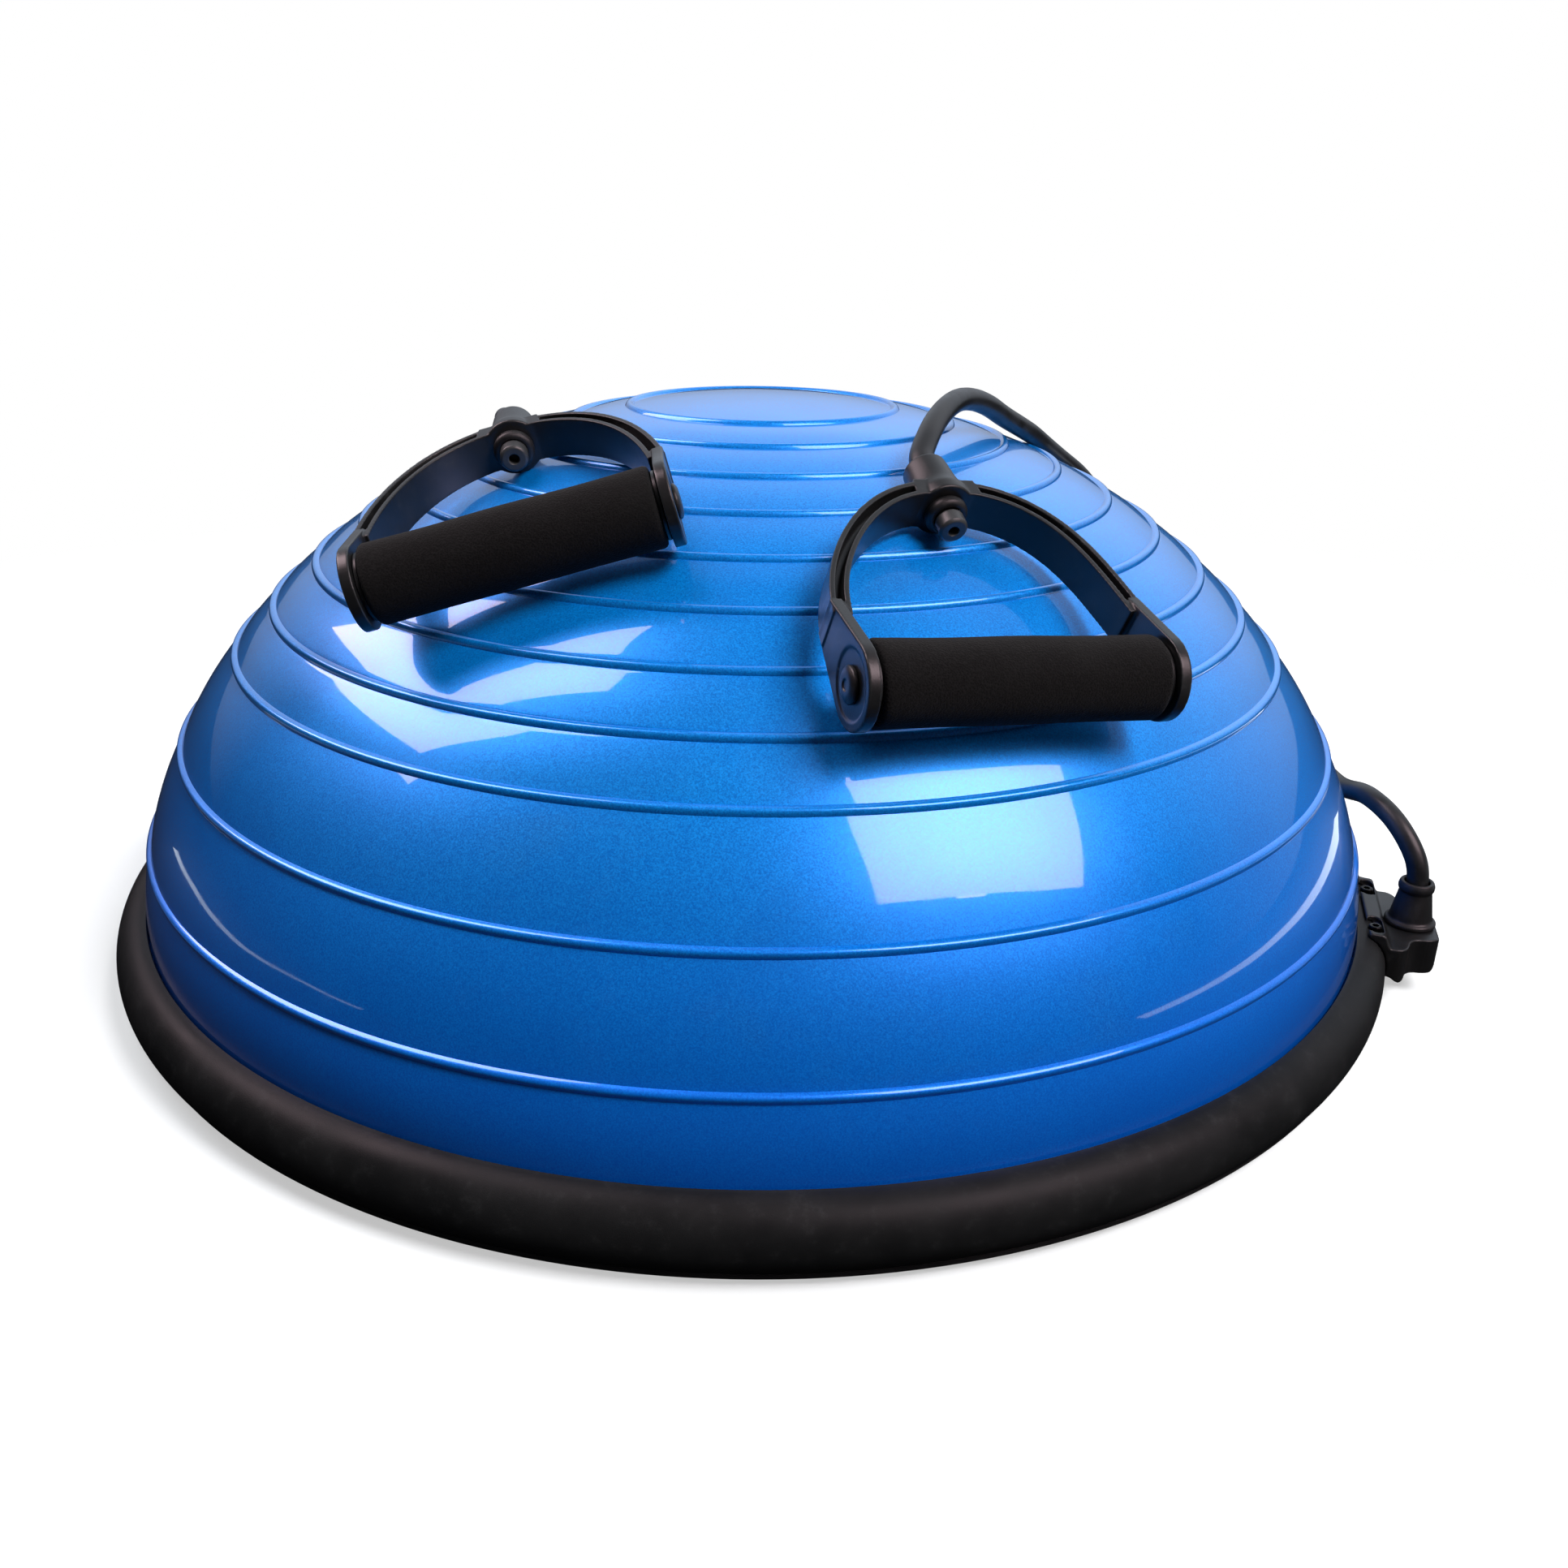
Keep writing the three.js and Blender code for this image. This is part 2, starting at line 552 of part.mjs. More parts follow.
function resistanceTube(handle, side) {
  const route = ROUTES[side];
  const mirror = side === 'left' ? -1 : 1;
  handle.updateMatrixWorld(true);
  const alongBoss = [TUBE_END, (TUBE_END + BOSS.outer) / 2, BOSS.outer, BOSS.outer + 5];
  const fromHandle = alongBoss.map(
    (y) => handle.localToWorld(new THREE.Vector3(HANDLES[side].lean, y, 0)),
  );
  const air = route.air.map((point) => new THREE.Vector3(...point));
  const laid = route.laid.map((place) => onDome(place, TUBE.layOff));
  const inAnchor = [SLEEVE.top, (SLEEVE.top + ANCHOR.tubeEnd) / 2, ANCHOR.tubeEnd];
  const down = [...LAST_ARC, ...inAnchor.map((z) => [ANCHOR.axis, 0, z])];
  const last = down.map(([x, y, z]) => new THREE.Vector3(mirror * x, y, z));
  const path = new THREE.CatmullRomCurve3([...fromHandle, ...air, ...laid, ...last], false, 'centripetal');
  path.arcLengthDivisions = 800;
  const options = { steps: TUBE.steps, extrudePath: path };
  return closed(new THREE.ExtrudeGeometry(tubeSection(), options));
}

// ---- Materials ----

function finish(color, roughness, metalness = 0) {
  return () => new THREE.MeshStandardMaterial({ color, roughness, metalness });
}

const BLUE_VINYL = finish(0x0a64c8, 0.22, 0.15);
const BLACK_MOULDING = finish(0x17181a, 0.45);
const BLACK_RUBBER = finish(0x141414, 0.55);
const BLACK_FOAM = finish(0x0d0d0e, 0.95);
const GREY_PLASTIC = finish(0x2b2d31, 0.4);
const STEEL = finish(0x8d9094, 0.35, 1);

function piece(name, geometry, material) {
  const mesh = new THREE.Mesh(geometry, material());
  mesh.name = name;
  return mesh;
}

// ---- Assembly ----

function polar(mesh, radius, degrees, height) {
  const angle = THREE.MathUtils.degToRad(degrees);
  mesh.position.set(radius * Math.cos(angle), radius * Math.sin(angle), height);
  mesh.rotation.z = angle;
  return mesh;
}

function foundation() {
  const group = new THREE.Group();
  group.add(piece('dome_bladder', domeBladder(), BLUE_VINYL));
  group.add(piece('retaining_ring', retainingRing(), BLACK_MOULDING));
  group.add(piece('base_platform', basePlatform(), BLACK_MOULDING));
  group.add(piece('valve_seat', valveSeat(), BLACK_RUBBER));
  group.add(piece('air_plug', airPlug(), GREY_PLASTIC));
  for (let i = 0; i < SCREW.count; i += 1) {
    const headZ = BASE.bottom + SEAT_GAP;
    const mesh = piece(`rim_screw_${i + 1}`, screw(SCREW_TOP - headZ), STEEL);
    group.add(polar(mesh, SCREW.circle, SCREW.first + (i * 360) / SCREW.count, headZ));
  }
  for (let i = 0; i < FOOT.count; i += 1) {
    const mesh = piece(`foot_pad_${i + 1}`, footPad(), BLACK_RUBBER);
    group.add(polar(mesh, FOOT.circle, (i * 360) / FOOT.count, 0));
  }
  return group;
}

function anchor(side) {
  const group = new THREE.Group();
  group.add(piece(`anchor_bracket_${side}`, anchorBracket(), BLACK_MOULDING));
  const sleeve = piece(`anchor_sleeve_${side}`, anchorSleeve(), BLACK_RUBBER);
  sleeve.position.x = ANCHOR.axis;
  const stopper = piece(`anchor_stopper_${side}`, tubePlug(7.4, 4, 13), GREY_PLASTIC);
  stopper.position.set(ANCHOR.axis, 0, ANCHOR.tubeEnd - GAP);
  group.add(sleeve, stopper);
  for (const [i, way] of [-1, 1].entries()) {
    const mesh = piece(`anchor_screw_${side}_${i + 1}`, screw(ANCHOR_SCREW.length), STEEL);
    mesh.rotation.x = Math.PI;
    mesh.position.set(ANCHOR_SCREW.x, way * ANCHOR_SCREW.y, RIM_Z + ANCHOR_SCREW.rise);
    group.add(mesh);
  }
  if (side === 'left') group.rotation.z = Math.PI;
  return group;
}

function handle(side) {
  const { centre, turn, lean } = HANDLES[side];
  const group = new THREE.Group();
  group.position.set(...centre);
  group.rotation.set(...turn.map(THREE.MathUtils.degToRad), 'ZYX');
  const ring = piece(`stop_ring_${side}`, stopRing(), BLACK_RUBBER);
  const stopper = piece(`tube_stopper_${side}`, tubeStopper(), GREY_PLASTIC);
  ring.position.x = lean;
  stopper.position.x = lean;
  group.add(piece(`handle_yoke_${side}`, handleYoke(lean), BLACK_MOULDING));
  group.add(piece(`foam_grip_${side}`, foamGrip(), BLACK_FOAM));
  group.add(piece(`grip_core_${side}`, gripCore(), GREY_PLASTIC));
  group.add(ring, stopper);
  for (const [i, turnAbout] of [0, Math.PI].entries()) {
    const bush = piece(`grip_bush_${side}_${i + 1}`, gripBush(), GREY_PLASTIC);
    const pin = piece(`pivot_pin_${side}_${i + 1}`, pivotPin(), BLACK_MOULDING);
    bush.rotation.z = turnAbout;
    pin.rotation.z = turnAbout;
    group.add(bush, pin);
  }
  return group;
}

const trainer = new THREE.Group();
trainer.add(foundation());
for (const side of ['right', 'left']) {
  const grip = handle(side);
  trainer.add(grip, anchor(side));
  trainer.add(piece(`resistance_tube_${side}`, resistanceTube(grip, side), BLACK_RUBBER));
}

export default trainer;
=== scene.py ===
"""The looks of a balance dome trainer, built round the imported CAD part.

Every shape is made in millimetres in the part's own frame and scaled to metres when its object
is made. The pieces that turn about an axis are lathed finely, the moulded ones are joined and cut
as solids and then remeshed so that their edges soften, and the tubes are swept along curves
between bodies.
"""

import json
import math

import bmesh
import bpy
import numpy as np
from mathutils import Matrix, Vector

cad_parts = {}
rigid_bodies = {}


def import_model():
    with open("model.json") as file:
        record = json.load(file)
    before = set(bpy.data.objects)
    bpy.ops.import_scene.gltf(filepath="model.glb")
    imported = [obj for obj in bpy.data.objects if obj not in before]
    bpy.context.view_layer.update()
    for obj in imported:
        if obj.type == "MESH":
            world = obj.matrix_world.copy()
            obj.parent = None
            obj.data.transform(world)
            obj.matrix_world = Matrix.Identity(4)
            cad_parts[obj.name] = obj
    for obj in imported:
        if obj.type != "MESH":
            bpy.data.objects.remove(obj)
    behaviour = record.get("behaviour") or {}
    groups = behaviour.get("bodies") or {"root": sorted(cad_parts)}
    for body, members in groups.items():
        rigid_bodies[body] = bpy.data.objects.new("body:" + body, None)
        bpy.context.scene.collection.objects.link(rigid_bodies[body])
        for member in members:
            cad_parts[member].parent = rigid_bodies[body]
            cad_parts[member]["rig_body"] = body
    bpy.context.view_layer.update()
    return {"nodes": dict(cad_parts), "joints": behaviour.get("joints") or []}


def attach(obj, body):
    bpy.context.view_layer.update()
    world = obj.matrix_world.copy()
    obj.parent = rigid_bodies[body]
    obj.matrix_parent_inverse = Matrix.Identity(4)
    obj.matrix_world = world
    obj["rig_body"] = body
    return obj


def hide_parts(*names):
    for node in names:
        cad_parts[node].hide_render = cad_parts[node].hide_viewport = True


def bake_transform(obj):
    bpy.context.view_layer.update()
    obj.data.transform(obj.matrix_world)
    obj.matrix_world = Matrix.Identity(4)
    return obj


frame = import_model()
JOINTS = {j["name"]: j for j in frame["joints"]}
TO_METRES = Matrix.Scale(0.001, 4)
SIDES = ("right", "left")

# ---- Driving dimensions, in millimetres ----

# The dome: a skin that follows a superellipse, clamped at its edge, with beads round it.
DOME_RADIUS, DOME_RISE, RIM_Z = 290.0, 217.7, 33.0
PLAN_POWER, RISE_POWER = 2.07, 1.72
SKIN, FLOOR_SKIN, VALVE_HOLE = 2.0, 2.2, 9.2  # two thicknesses, and the hole's radius
CLAMP_RADIUS, CLAMP_TOP, SEAT_Z = 292.0, 28.6, 20.0
BEAD_FIRST, BEAD_PITCH, BEAD_WIDE_PITCH = 61.0, 26.2, 46.9  # along the skin, from the crown down
BEAD_NARROW, BEAD_WIDE = 9, 2  # how many beads there are at each pitch
BEAD_HALF, BEAD_HEIGHT, PILLOW = 2.1, 1.5, 0.45
DOME_SIDES = 320

# The rim and the base under it.
RIM_CREST, RIM_NOSE, RIM_NOSE_Z, RIM_FOOT = 291.0, 305.0, 17.0, 7.0
FACE_Z, BASE_EDGE, BASE_TOP = 3.0, 300.6, RIM_FOOT
CARRY_CENTRE, CARRY_HALF_WIDTH, CARRY_HALF_LENGTH, CARRY_WALL = 256, 17, 60, 3
FOOT_COUNT, FOOT_CIRCLE, FOOT_RADIUS, FOOT_TOP = 6, 262.0, 14.0, 4.5
SCREW_COUNT, SCREW_CIRCLE, SCREW_FACE, SCREW_LENGTH = 8, 294.2, 3.2, 14.8
HEAD_RADIUS, HEAD_HEIGHT, SHANK_RADIUS, THREAD_PITCH, SOCKET = 2.9, 2.2, 1.6, 0.8, 1.4

# The anchors: a lug on the rim at each end of the X axis, with a sleeve and a plug for its tube.
ANCHOR_X, ANCHOR_TOP, ANCHOR_FOOT = 315.5, 28.0, 11.0
ANCHOR_NOSE, ANCHOR_HALF, ANCHOR_ROOT = 327.5, 31.0, 294.5
ANCHOR_SCREW_X, ANCHOR_SCREW_Y, ANCHOR_SCREW_LENGTH = 298.0, 20.0, 18.0
ANCHOR_BORE, CUP_RADIUS, CUP_TOP, SLEEVE_TOP = 5.5, 8.0, 16.5, 49.5

# The handles and the tubes.
TUBE_RADIUS, TUBE_LAY = 4.75, 6.6  # a laid tube's middle line stays TUBE_LAY off the skin
YOKE_HALF, YOKE_HEIGHT, YOKE_POWER, YOKE_ENDS = 58.2, 93.0, 2.2, 0.24
YOKE_WIDE, YOKE_THICK, YOKE_WALL, YOKE_WEB = 16.0, 7.0, 2.0, 3.0
BOSS_INNER, BOSS_OUTER, BOSS_RADIUS, BOSS_TIP, BOSS_BORE = 88.5, 112.0, 9.5, 8.6, 5.4
PLATE_RADIUS, PLATE_INNER, PLATE_THICK, PLATE_NECK = 15.6, 55.3, 4.3, 32.0
FOAM_RADIUS, CORE_RADIUS, CORE_BORE, GRIP_HALF, TUBE_END = 15.05, 11.0, 9.0, 53.3, 83.0
PIN_RADIUS, PIN_BORE, PIN_START = 3.9, 4.3, 41.0
LEAN = {"right": 5.0, "left": 0.0}  # how far each tube has pulled the soft strap's crown sideways
HINGE_DROP = 10.0  # how far each tilt hinge lies below the boss's tip

MOULD_VOXEL = 0.42  # how finely the moulded pieces are remeshed

# ---- Mesh building ----


def rounded(corners, radius, closed=True, steps=4):
    """The outline with an arc in place of each corner. An open outline keeps its two ends."""
    count = len(corners)
    points = []
    for i, corner in enumerate(corners):
        here = Vector(corner[:2])
        size = corner[2] if len(corner) > 2 else radius
        if size <= 0 or (not closed and i in (0, count - 1)):
            points.append(tuple(here))
            continue
        before = Vector(corners[i - 1][:2]) - here
        after = Vector(corners[(i + 1) % count][:2]) - here
        reach = min(size, 0.45 * before.length, 0.45 * after.length)
        start, end = here + before.normalized() * reach, here + after.normalized() * reach
        for k in range(steps + 1):
            t = k / steps
            points.append(tuple(start * (1 - t) ** 2 + here * 2 * t * (1 - t) + end * t * t))
    return points


def lathe(profile, sides=96, closed=True, ripple=None):
    """Vertices and faces of a profile of (radius, height) turned about Z.
    ripple(angle, radius, height) changes a point's radius."""
    verts, rings = [], []
    for radius, height in profile:
        if radius < 1e-6:
            rings.append([len(verts)])
            verts.append((0.0, 0.0, height))
            continue
        ring = []
        for k in range(sides):
            angle = 2 * math.pi * k / sides
            r = ripple(angle, radius, height) if ripple else radius
            ring.append(len(verts))
            verts.append((r * math.cos(angle), r * math.sin(angle), height))
        rings.append(ring)
    pairs = list(zip(rings, rings[1:]))
    if closed:
        pairs.append((rings[-1], rings[0]))
    faces = []
    for low, high in pairs:
        for k in range(sides):
            n = (k + 1) % sides
            if len(low) == 1 and len(high) == 1:
                continue
            if len(low) == 1:
                faces.append((low[0], high[n], high[k]))
            elif len(high) == 1:
                faces.append((low[k], low[n], high[0]))
            else:
                faces.append((low[k], low[n], high[n], high[k]))
    return verts, faces


def rod(radius, low, high, sides=48):
    return lathe([(0, low), (radius, low), (radius, high), (0, high)], sides, closed=False)


def extrude(outline, low, high):
    """A closed outline in X and Y pushed up from low to high."""
    count = len(outline)
    verts = [(x, y, low) for x, y in outline] + [(x, y, high) for x, y in outline]
    faces = [tuple(range(count))[::-1], tuple(range(count, 2 * count))]
    for k in range(count):
        n = (k + 1) % count
        faces.append((k, n, n + count, k + count))
    return verts, faces


def sweep(outline, path, normals):
    """A closed outline carried along a path, its x along each normal, its y along path x normal."""
    verts, faces = [], []
    count = len(outline)
    for i, here in enumerate(path):
        ahead = path[min(i + 1, len(path) - 1)] - path[max(i - 1, 0)]
        normal = normals[i]
        side = ahead.normalized().cross(normal).normalized()
        verts += [tuple(here + normal * x + side * y) for x, y in outline]
    for i in range(len(path) - 1):
        for k in range(count):
            a, b = i * count + k, i * count + (k + 1) % count
            faces.append((a, b, b + count, a + count))
    last = (len(path) - 1) * count
    faces += [tuple(range(count))[::-1], tuple(range(last, last + count))]
    return verts, faces


def run_lengths(points):
    """How far along the line of points each one lies."""
    steps = np.linalg.norm(np.diff(points, axis=0), axis=1)
    return np.concatenate([[0], np.cumsum(steps)])


def evenly(points, count):
    """So many points at even distances along the line of points."""
    points = np.array(points)
    lengths = run_lengths(points)
    marks = np.linspace(0, lengths[-1], count)
    return np.stack([np.interp(marks, lengths, points[:, k]) for k in range(3)], axis=1)


def moved(shape, matrix):
    return [tuple(matrix @ Vector(v)) for v in shape[0]], shape[1]


def merged(*shapes):
    verts, faces = [], []
    for shape_verts, shape_faces in shapes:
        base = len(verts)
        verts += list(shape_verts)
        faces += [tuple(i + base for i in face) for face in shape_faces]
    return verts, faces


def to_mesh(name, shape):
    """A mesh whose faces all point out."""
    mesh = bpy.data.meshes.new(name)
    mesh.from_pydata([tuple(v) for v in shape[0]], [], [tuple(f) for f in shape[1]])
    mesh.validate()
    work = bmesh.new()
    work.from_mesh(mesh)
    bmesh.ops.remove_doubles(work, verts=work.verts, dist=1e-4)
    bmesh.ops.recalc_face_normals(work, faces=work.faces)
    work.to_mesh(mesh)
    work.free()
    return mesh


def scratch(shape):
    obj = bpy.data.objects.new("scratch", to_mesh("scratch", shape))
    bpy.context.scene.collection.objects.link(obj)
    return obj


def bake(obj):
    """Puts the shape that the object's modifiers make in place of its mesh."""
    graph = bpy.context.evaluated_depsgraph_get()
    mesh = bpy.data.meshes.new_from_object(obj.evaluated_get(graph))
    obj.modifiers.clear()
    obj.data = mesh


def solid(base, steps, voxel=0, smooth=0):
    """The base shape joined with, cut by or limited to others in turn. With a voxel size it is also
    remeshed and softened."""
    body = scratch(base)
    others = []
    for operation, shape in steps:
        other = scratch(shape)
        others.append(other)
        modifier = body.modifiers.new(operation, "BOOLEAN")
        modifier.operation, modifier.solver, modifier.object = operation, "EXACT", other
    bake(body)
    if voxel:
        remesh = body.modifiers.new("remesh", "REMESH")
        remesh.mode, remesh.voxel_size = "VOXEL", voxel
        soften = body.modifiers.new("soften", "SMOOTH")
        soften.factor, soften.iterations = 0.5, smooth
        bake(body)
    mesh = body.data
    shape = ([tuple(v.co) for v in mesh.vertices], [tuple(p.vertices) for p in mesh.polygons])
    for obj in (*others, body):
        bpy.data.objects.remove(obj)
    return shape


def turn_z(degrees):
    return Matrix.Rotation(math.radians(degrees), 4, "Z")


def shift(x, y, z):
    return Matrix.Translation((x, y, z))


def add(name, shape, node, look, place=Matrix(), blend=None, sharp=40):
    """A finished piece that stands for a CAD node. It rides on that node's body, or, when blend is
    given (two bodies' names and two points), stays fixed in the world where it is made."""
    mesh = to_mesh(name, moved(shape, TO_METRES @ place))
    mesh.polygons.foreach_set("use_smooth", [True] * len(mesh.polygons))
    mesh.set_sharp_from_angle(angle=math.radians(sharp))
    mesh.materials.append(look)
    obj = bpy.data.objects.new(name, mesh)
    bpy.context.scene.collection.objects.link(obj)
    if blend:
        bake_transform(obj)
    else:
        weigh = obj.modifiers.new("weigh", "WEIGHTED_NORMAL")
        weigh.keep_sharp = True
        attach(obj, frame["nodes"][node]["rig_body"])
    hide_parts(node)


# ---- Materials ----


def shader(name):
    material = bpy.data.materials.new(name)
    material.use_nodes = True
    tree = material.node_tree
    tree.nodes.clear()
    return material, tree


def put(tree, kind, values=None, **settings):
    """A node with its inputs set to values or linked to sockets."""
    node = tree.nodes.new(kind)
    for key, value in settings.items():
        setattr(node, key, value)
    for key, value in (values or {}).items():
        if isinstance(value, bpy.types.NodeSocket):
            tree.links.new(value, node.inputs[key])
        else:
            node.inputs[key].default_value = value
    return node


def noise(tree, where, scale, detail=3.0, roughness=0.55):
    values = {"Vector": where, "Scale": scale, "Detail": detail, "Roughness": roughness}
    return put(tree, "ShaderNodeTexNoise", values).outputs[0]


def remap(tree, value, from_low, from_high, to_low, to_high):
    values = {0: value, 1: from_low, 2: from_high, 3: to_low, 4: to_high}
    return put(tree, "ShaderNodeMapRange", values).outputs[0]


def mix_colour(tree, share, first, second):
    """The first colour, with a share of the second in it."""
    values = {0: share, 6: first, 7: second}
    return put(tree, "ShaderNodeMix", values, data_type="RGBA").outputs[2]


def bump(tree, height, strength, distance, below=None):
    values = {"Height": height, "Strength": strength, "Distance": distance}
    if below is not None:
        values["Normal"] = below
    return put(tree, "ShaderNodeBump", values).outputs[0]


def surface(tree, values):
    bsdf = put(tree, "ShaderNodeBsdfPrincipled", values)
    put(tree, "ShaderNodeOutputMaterial", {"Surface": bsdf.outputs[0]})


def rgba(red, green, blue):
    return (red, green, blue, 1.0)


def pearl_vinyl(name):
    """Glossy vinyl with fine pearl flakes under a clear skin, wavy as inflated sheet is, and painted
    a deeper, darker blue low down as painted shade."""
    material, tree = shader(name)
    where = put(tree, "ShaderNodeTexCoord").outputs["Object"]
    flakes = noise(tree, where, 1500.0, 2.0, 0.7)
    clouds = noise(tree, where, 22.0, 4.0)
    waves = noise(tree, where, 9.0, 2.0)
    dust = remap(tree, noise(tree, where, 60.0, 6.0, 0.7), 0.52, 0.78, 0.0, 1.0)
    tint = mix_colour(tree, remap(tree, flakes, 0.35, 0.68, 0.0, 1.0),
                      rgba(0.0, 0.18, 0.7), rgba(0.001, 0.35, 1.0))
    tint = mix_colour(tree, remap(tree, clouds, 0.4, 0.7, 0.0, 0.22), tint, rgba(0.0, 0.14, 0.55))
    tint = mix_colour(tree, remap(tree, dust, 0.0, 1.0, 0.0, 0.05), tint, rgba(0.1, 0.3, 0.6))
    # Painted shade: the skin is tinted a darker, deeper blue towards the bottom, where the dome falls
    # into shade.
    height = put(tree, "ShaderNodeSeparateXYZ", {0: where}).outputs["Z"]
    tint = mix_colour(tree, remap(tree, height, 0.03, 0.15, 0.6, 0.0), tint, rgba(0.0, 0.1, 0.85))
    rough = remap(tree, flakes, 0.3, 0.7, 0.3, 0.42)
    skin_rough = remap(tree, dust, 0.0, 1.0, 0.035, 0.12)
    grain = bump(tree, flakes, 0.12, 0.00012)
    wave = bump(tree, waves, 0.35, 0.0016)
    surface(tree, {
        "Base Color": tint, "Metallic": 0.45, "Roughness": rough, "Normal": grain,
        "Coat Weight": 1.0, "Coat Roughness": skin_rough, "Coat IOR": 1.5, "Coat Normal": wave,
    })
    return material


def moulding(name, colour=0.014, shine=0.42, grain_scale=2200.0, edge=0.05, gloss=0.5):
    """Moulded black plastic with a fine spark-eroded grain and lighter worn edges."""
    material, tree = shader(name)
    where = put(tree, "ShaderNodeTexCoord").outputs["Object"]
    grain = noise(tree, where, grain_scale, 2.0, 0.6)
    patches = noise(tree, where, 35.0, 5.0, 0.6)
    scuffs = remap(tree, noise(tree, where, 140.0, 8.0, 0.75), 0.55, 0.8, 0.0, 1.0)
    point = put(tree, "ShaderNodeNewGeometry").outputs["Pointiness"]
    worn = remap(tree, point, 0.515, 0.6, 0.0, 1.0)
    base = mix_colour(tree, remap(tree, patches, 0.35, 0.7, 0.0, 1.0),
                      rgba(colour * 0.8, colour * 0.8, colour * 0.85),
                      rgba(colour * 1.35, colour * 1.35, colour * 1.4))
    base = mix_colour(tree, remap(tree, scuffs, 0.0, 1.0, 0.0, 0.22), base, rgba(0.06, 0.06, 0.062))
    base = mix_colour(tree, remap(tree, worn, 0.0, 1.0, 0.0, 0.6), base,
                      rgba(edge, edge, edge * 1.05))
    rough = remap(tree, patches, 0.3, 0.7, shine - 0.05, shine + 0.09)
    surface(tree, {
        "Base Color": base, "Roughness": rough, "Specular IOR Level": gloss,
        "Normal": bump(tree, grain, 0.25, 0.00012),
    })
    return material


def rubber(name, colour=0.012, shine=0.42, streak=1.0):
    """Extruded or moulded rubber: soft sheen, fine pits and a dusting of bloom."""
    material, tree = shader(name)
    where = put(tree, "ShaderNodeTexCoord").outputs["Object"]
    pits = noise(tree, where, 1800.0, 3.0, 0.6)
    bloom = noise(tree, where, 55.0 * streak, 6.0, 0.65)
    base = mix_colour(tree, remap(tree, bloom, 0.45, 0.75, 0.0, 0.5),
                      rgba(colour, colour, colour * 1.05), rgba(0.04, 0.04, 0.043))
    rough = remap(tree, bloom, 0.35, 0.7, shine - 0.04, shine + 0.13)
    surface(tree, {
        "Base Color": base, "Roughness": rough, "Specular IOR Level": 0.5,
        "Normal": bump(tree, pits, 0.2, 0.00012),
    })
    return material


def foam(name):
    """Closed-cell foam: matt black with fine open pores and a faint nap."""
    material, tree = shader(name)
    where = put(tree, "ShaderNodeTexCoord").outputs["Object"]
    cells = put(tree, "ShaderNodeTexVoronoi", {"Vector": where, "Scale": 1500.0}).outputs[0]
    lumps = noise(tree, where, 420.0, 4.0, 0.65)
    rub = noise(tree, where, 45.0, 4.0)
    base = mix_colour(tree, remap(tree, cells, 0.1, 0.75, 0.0, 1.0),
                      rgba(0.0015, 0.0015, 0.0015), rgba(0.006, 0.0058, 0.0058))
    base = mix_colour(tree, remap(tree, rub, 0.45, 0.75, 0.0, 0.35), base,
                      rgba(0.01, 0.0097, 0.0097))
    pores = bump(tree, cells, 0.5, 0.0004)
    surface(tree, {
        "Base Color": base, "Roughness": 0.93, "Specular IOR Level": 0.14,
        "Sheen Weight": 0.03, "Sheen Roughness": 0.5,
        "Normal": bump(tree, lumps, 0.4, 0.0005, pores),
    })
    return material


def plated_steel(name, bright=0.42, dull_bright=0.25):
    """Plated steel with fine turning marks and a few dull patches."""
    material, tree = shader(name)
    where = put(tree, "ShaderNodeTexCoord").outputs["Object"]
    spots = noise(tree, where, 900.0, 4.0)
    dull = noise(tree, where, 180.0, 5.0)
    base = mix_colour(tree, remap(tree, dull, 0.4, 0.7, 0.0, 1.0),
                      rgba(bright, bright, bright * 1.02),
                      rgba(dull_bright, dull_bright * 0.98, dull_bright * 0.96))
    surface(tree, {
        "Base Color": base, "Metallic": 1.0, "Roughness": remap(tree, dull, 0.3, 0.7, 0.25, 0.45),
        "Normal": bump(tree, spots, 0.15, 0.0001),
    })
    return material


LOOKS = {
    "vinyl": pearl_vinyl("blue_pearl_vinyl"),
    "rim": moulding("black_rim_moulding", 0.009, 0.44, 2600.0, 0.03, gloss=0.13),
    "base": moulding("black_base_moulding", 0.009, 0.5, 1500.0, 0.035),
    "yoke": moulding("black_handle_moulding", 0.009, 0.33, 2400.0, 0.07),
    "bracket": moulding("black_anchor_moulding", 0.006, 0.36, 2000.0, 0.05),
    "grey": moulding("dark_grey_plastic", 0.03, 0.34, 2600.0, 0.12),
    "tube": rubber("black_tube_rubber", 0.007, 0.34),
    "sleeve": rubber("black_sleeve_rubber", 0.006, 0.44),
    "foot": rubber("black_foot_rubber", 0.012, 0.6, 2.0),
    "foam": foam("black_grip_foam"),
    "steel": plated_steel("zinc_plated_steel"),
    "dark_steel": plated_steel("black_oxide_steel", 0.02, 0.012),
}

# ---- The dome ----

ANGLES = np.linspace(math.pi / 2, 0, 6001)
SKIN_R = DOME_RADIUS * np.maximum(np.cos(ANGLES), 0) ** (2 / PLAN_POWER)
SKIN_Z = RIM_Z + DOME_RISE * np.maximum(np.sin(ANGLES), 0) ** (2 / RISE_POWER)
SKIN_ARC = np.concatenate([[0], np.cumsum(np.hypot(np.diff(SKIN_R), np.diff(SKIN_Z)))])
ARC_TOTAL = float(SKIN_ARC[-1])
SLOPE_R = np.gradient(SKIN_R, SKIN_ARC)
SLOPE_Z = np.gradient(SKIN_Z, SKIN_ARC)


def skin_at(distance, offset=0.0):
    """The skin's (radius, height) at a distance from the crown, pushed out by offset."""
    r, z, dr, dz = (float(np.interp(distance, SKIN_ARC, values))
                    for values in (SKIN_R, SKIN_Z, SLOPE_R, SLOPE_Z))
    length = math.hypot(dr, dz)
    return max(r - offset * dz / length, 0.0), z + offset * dr / length


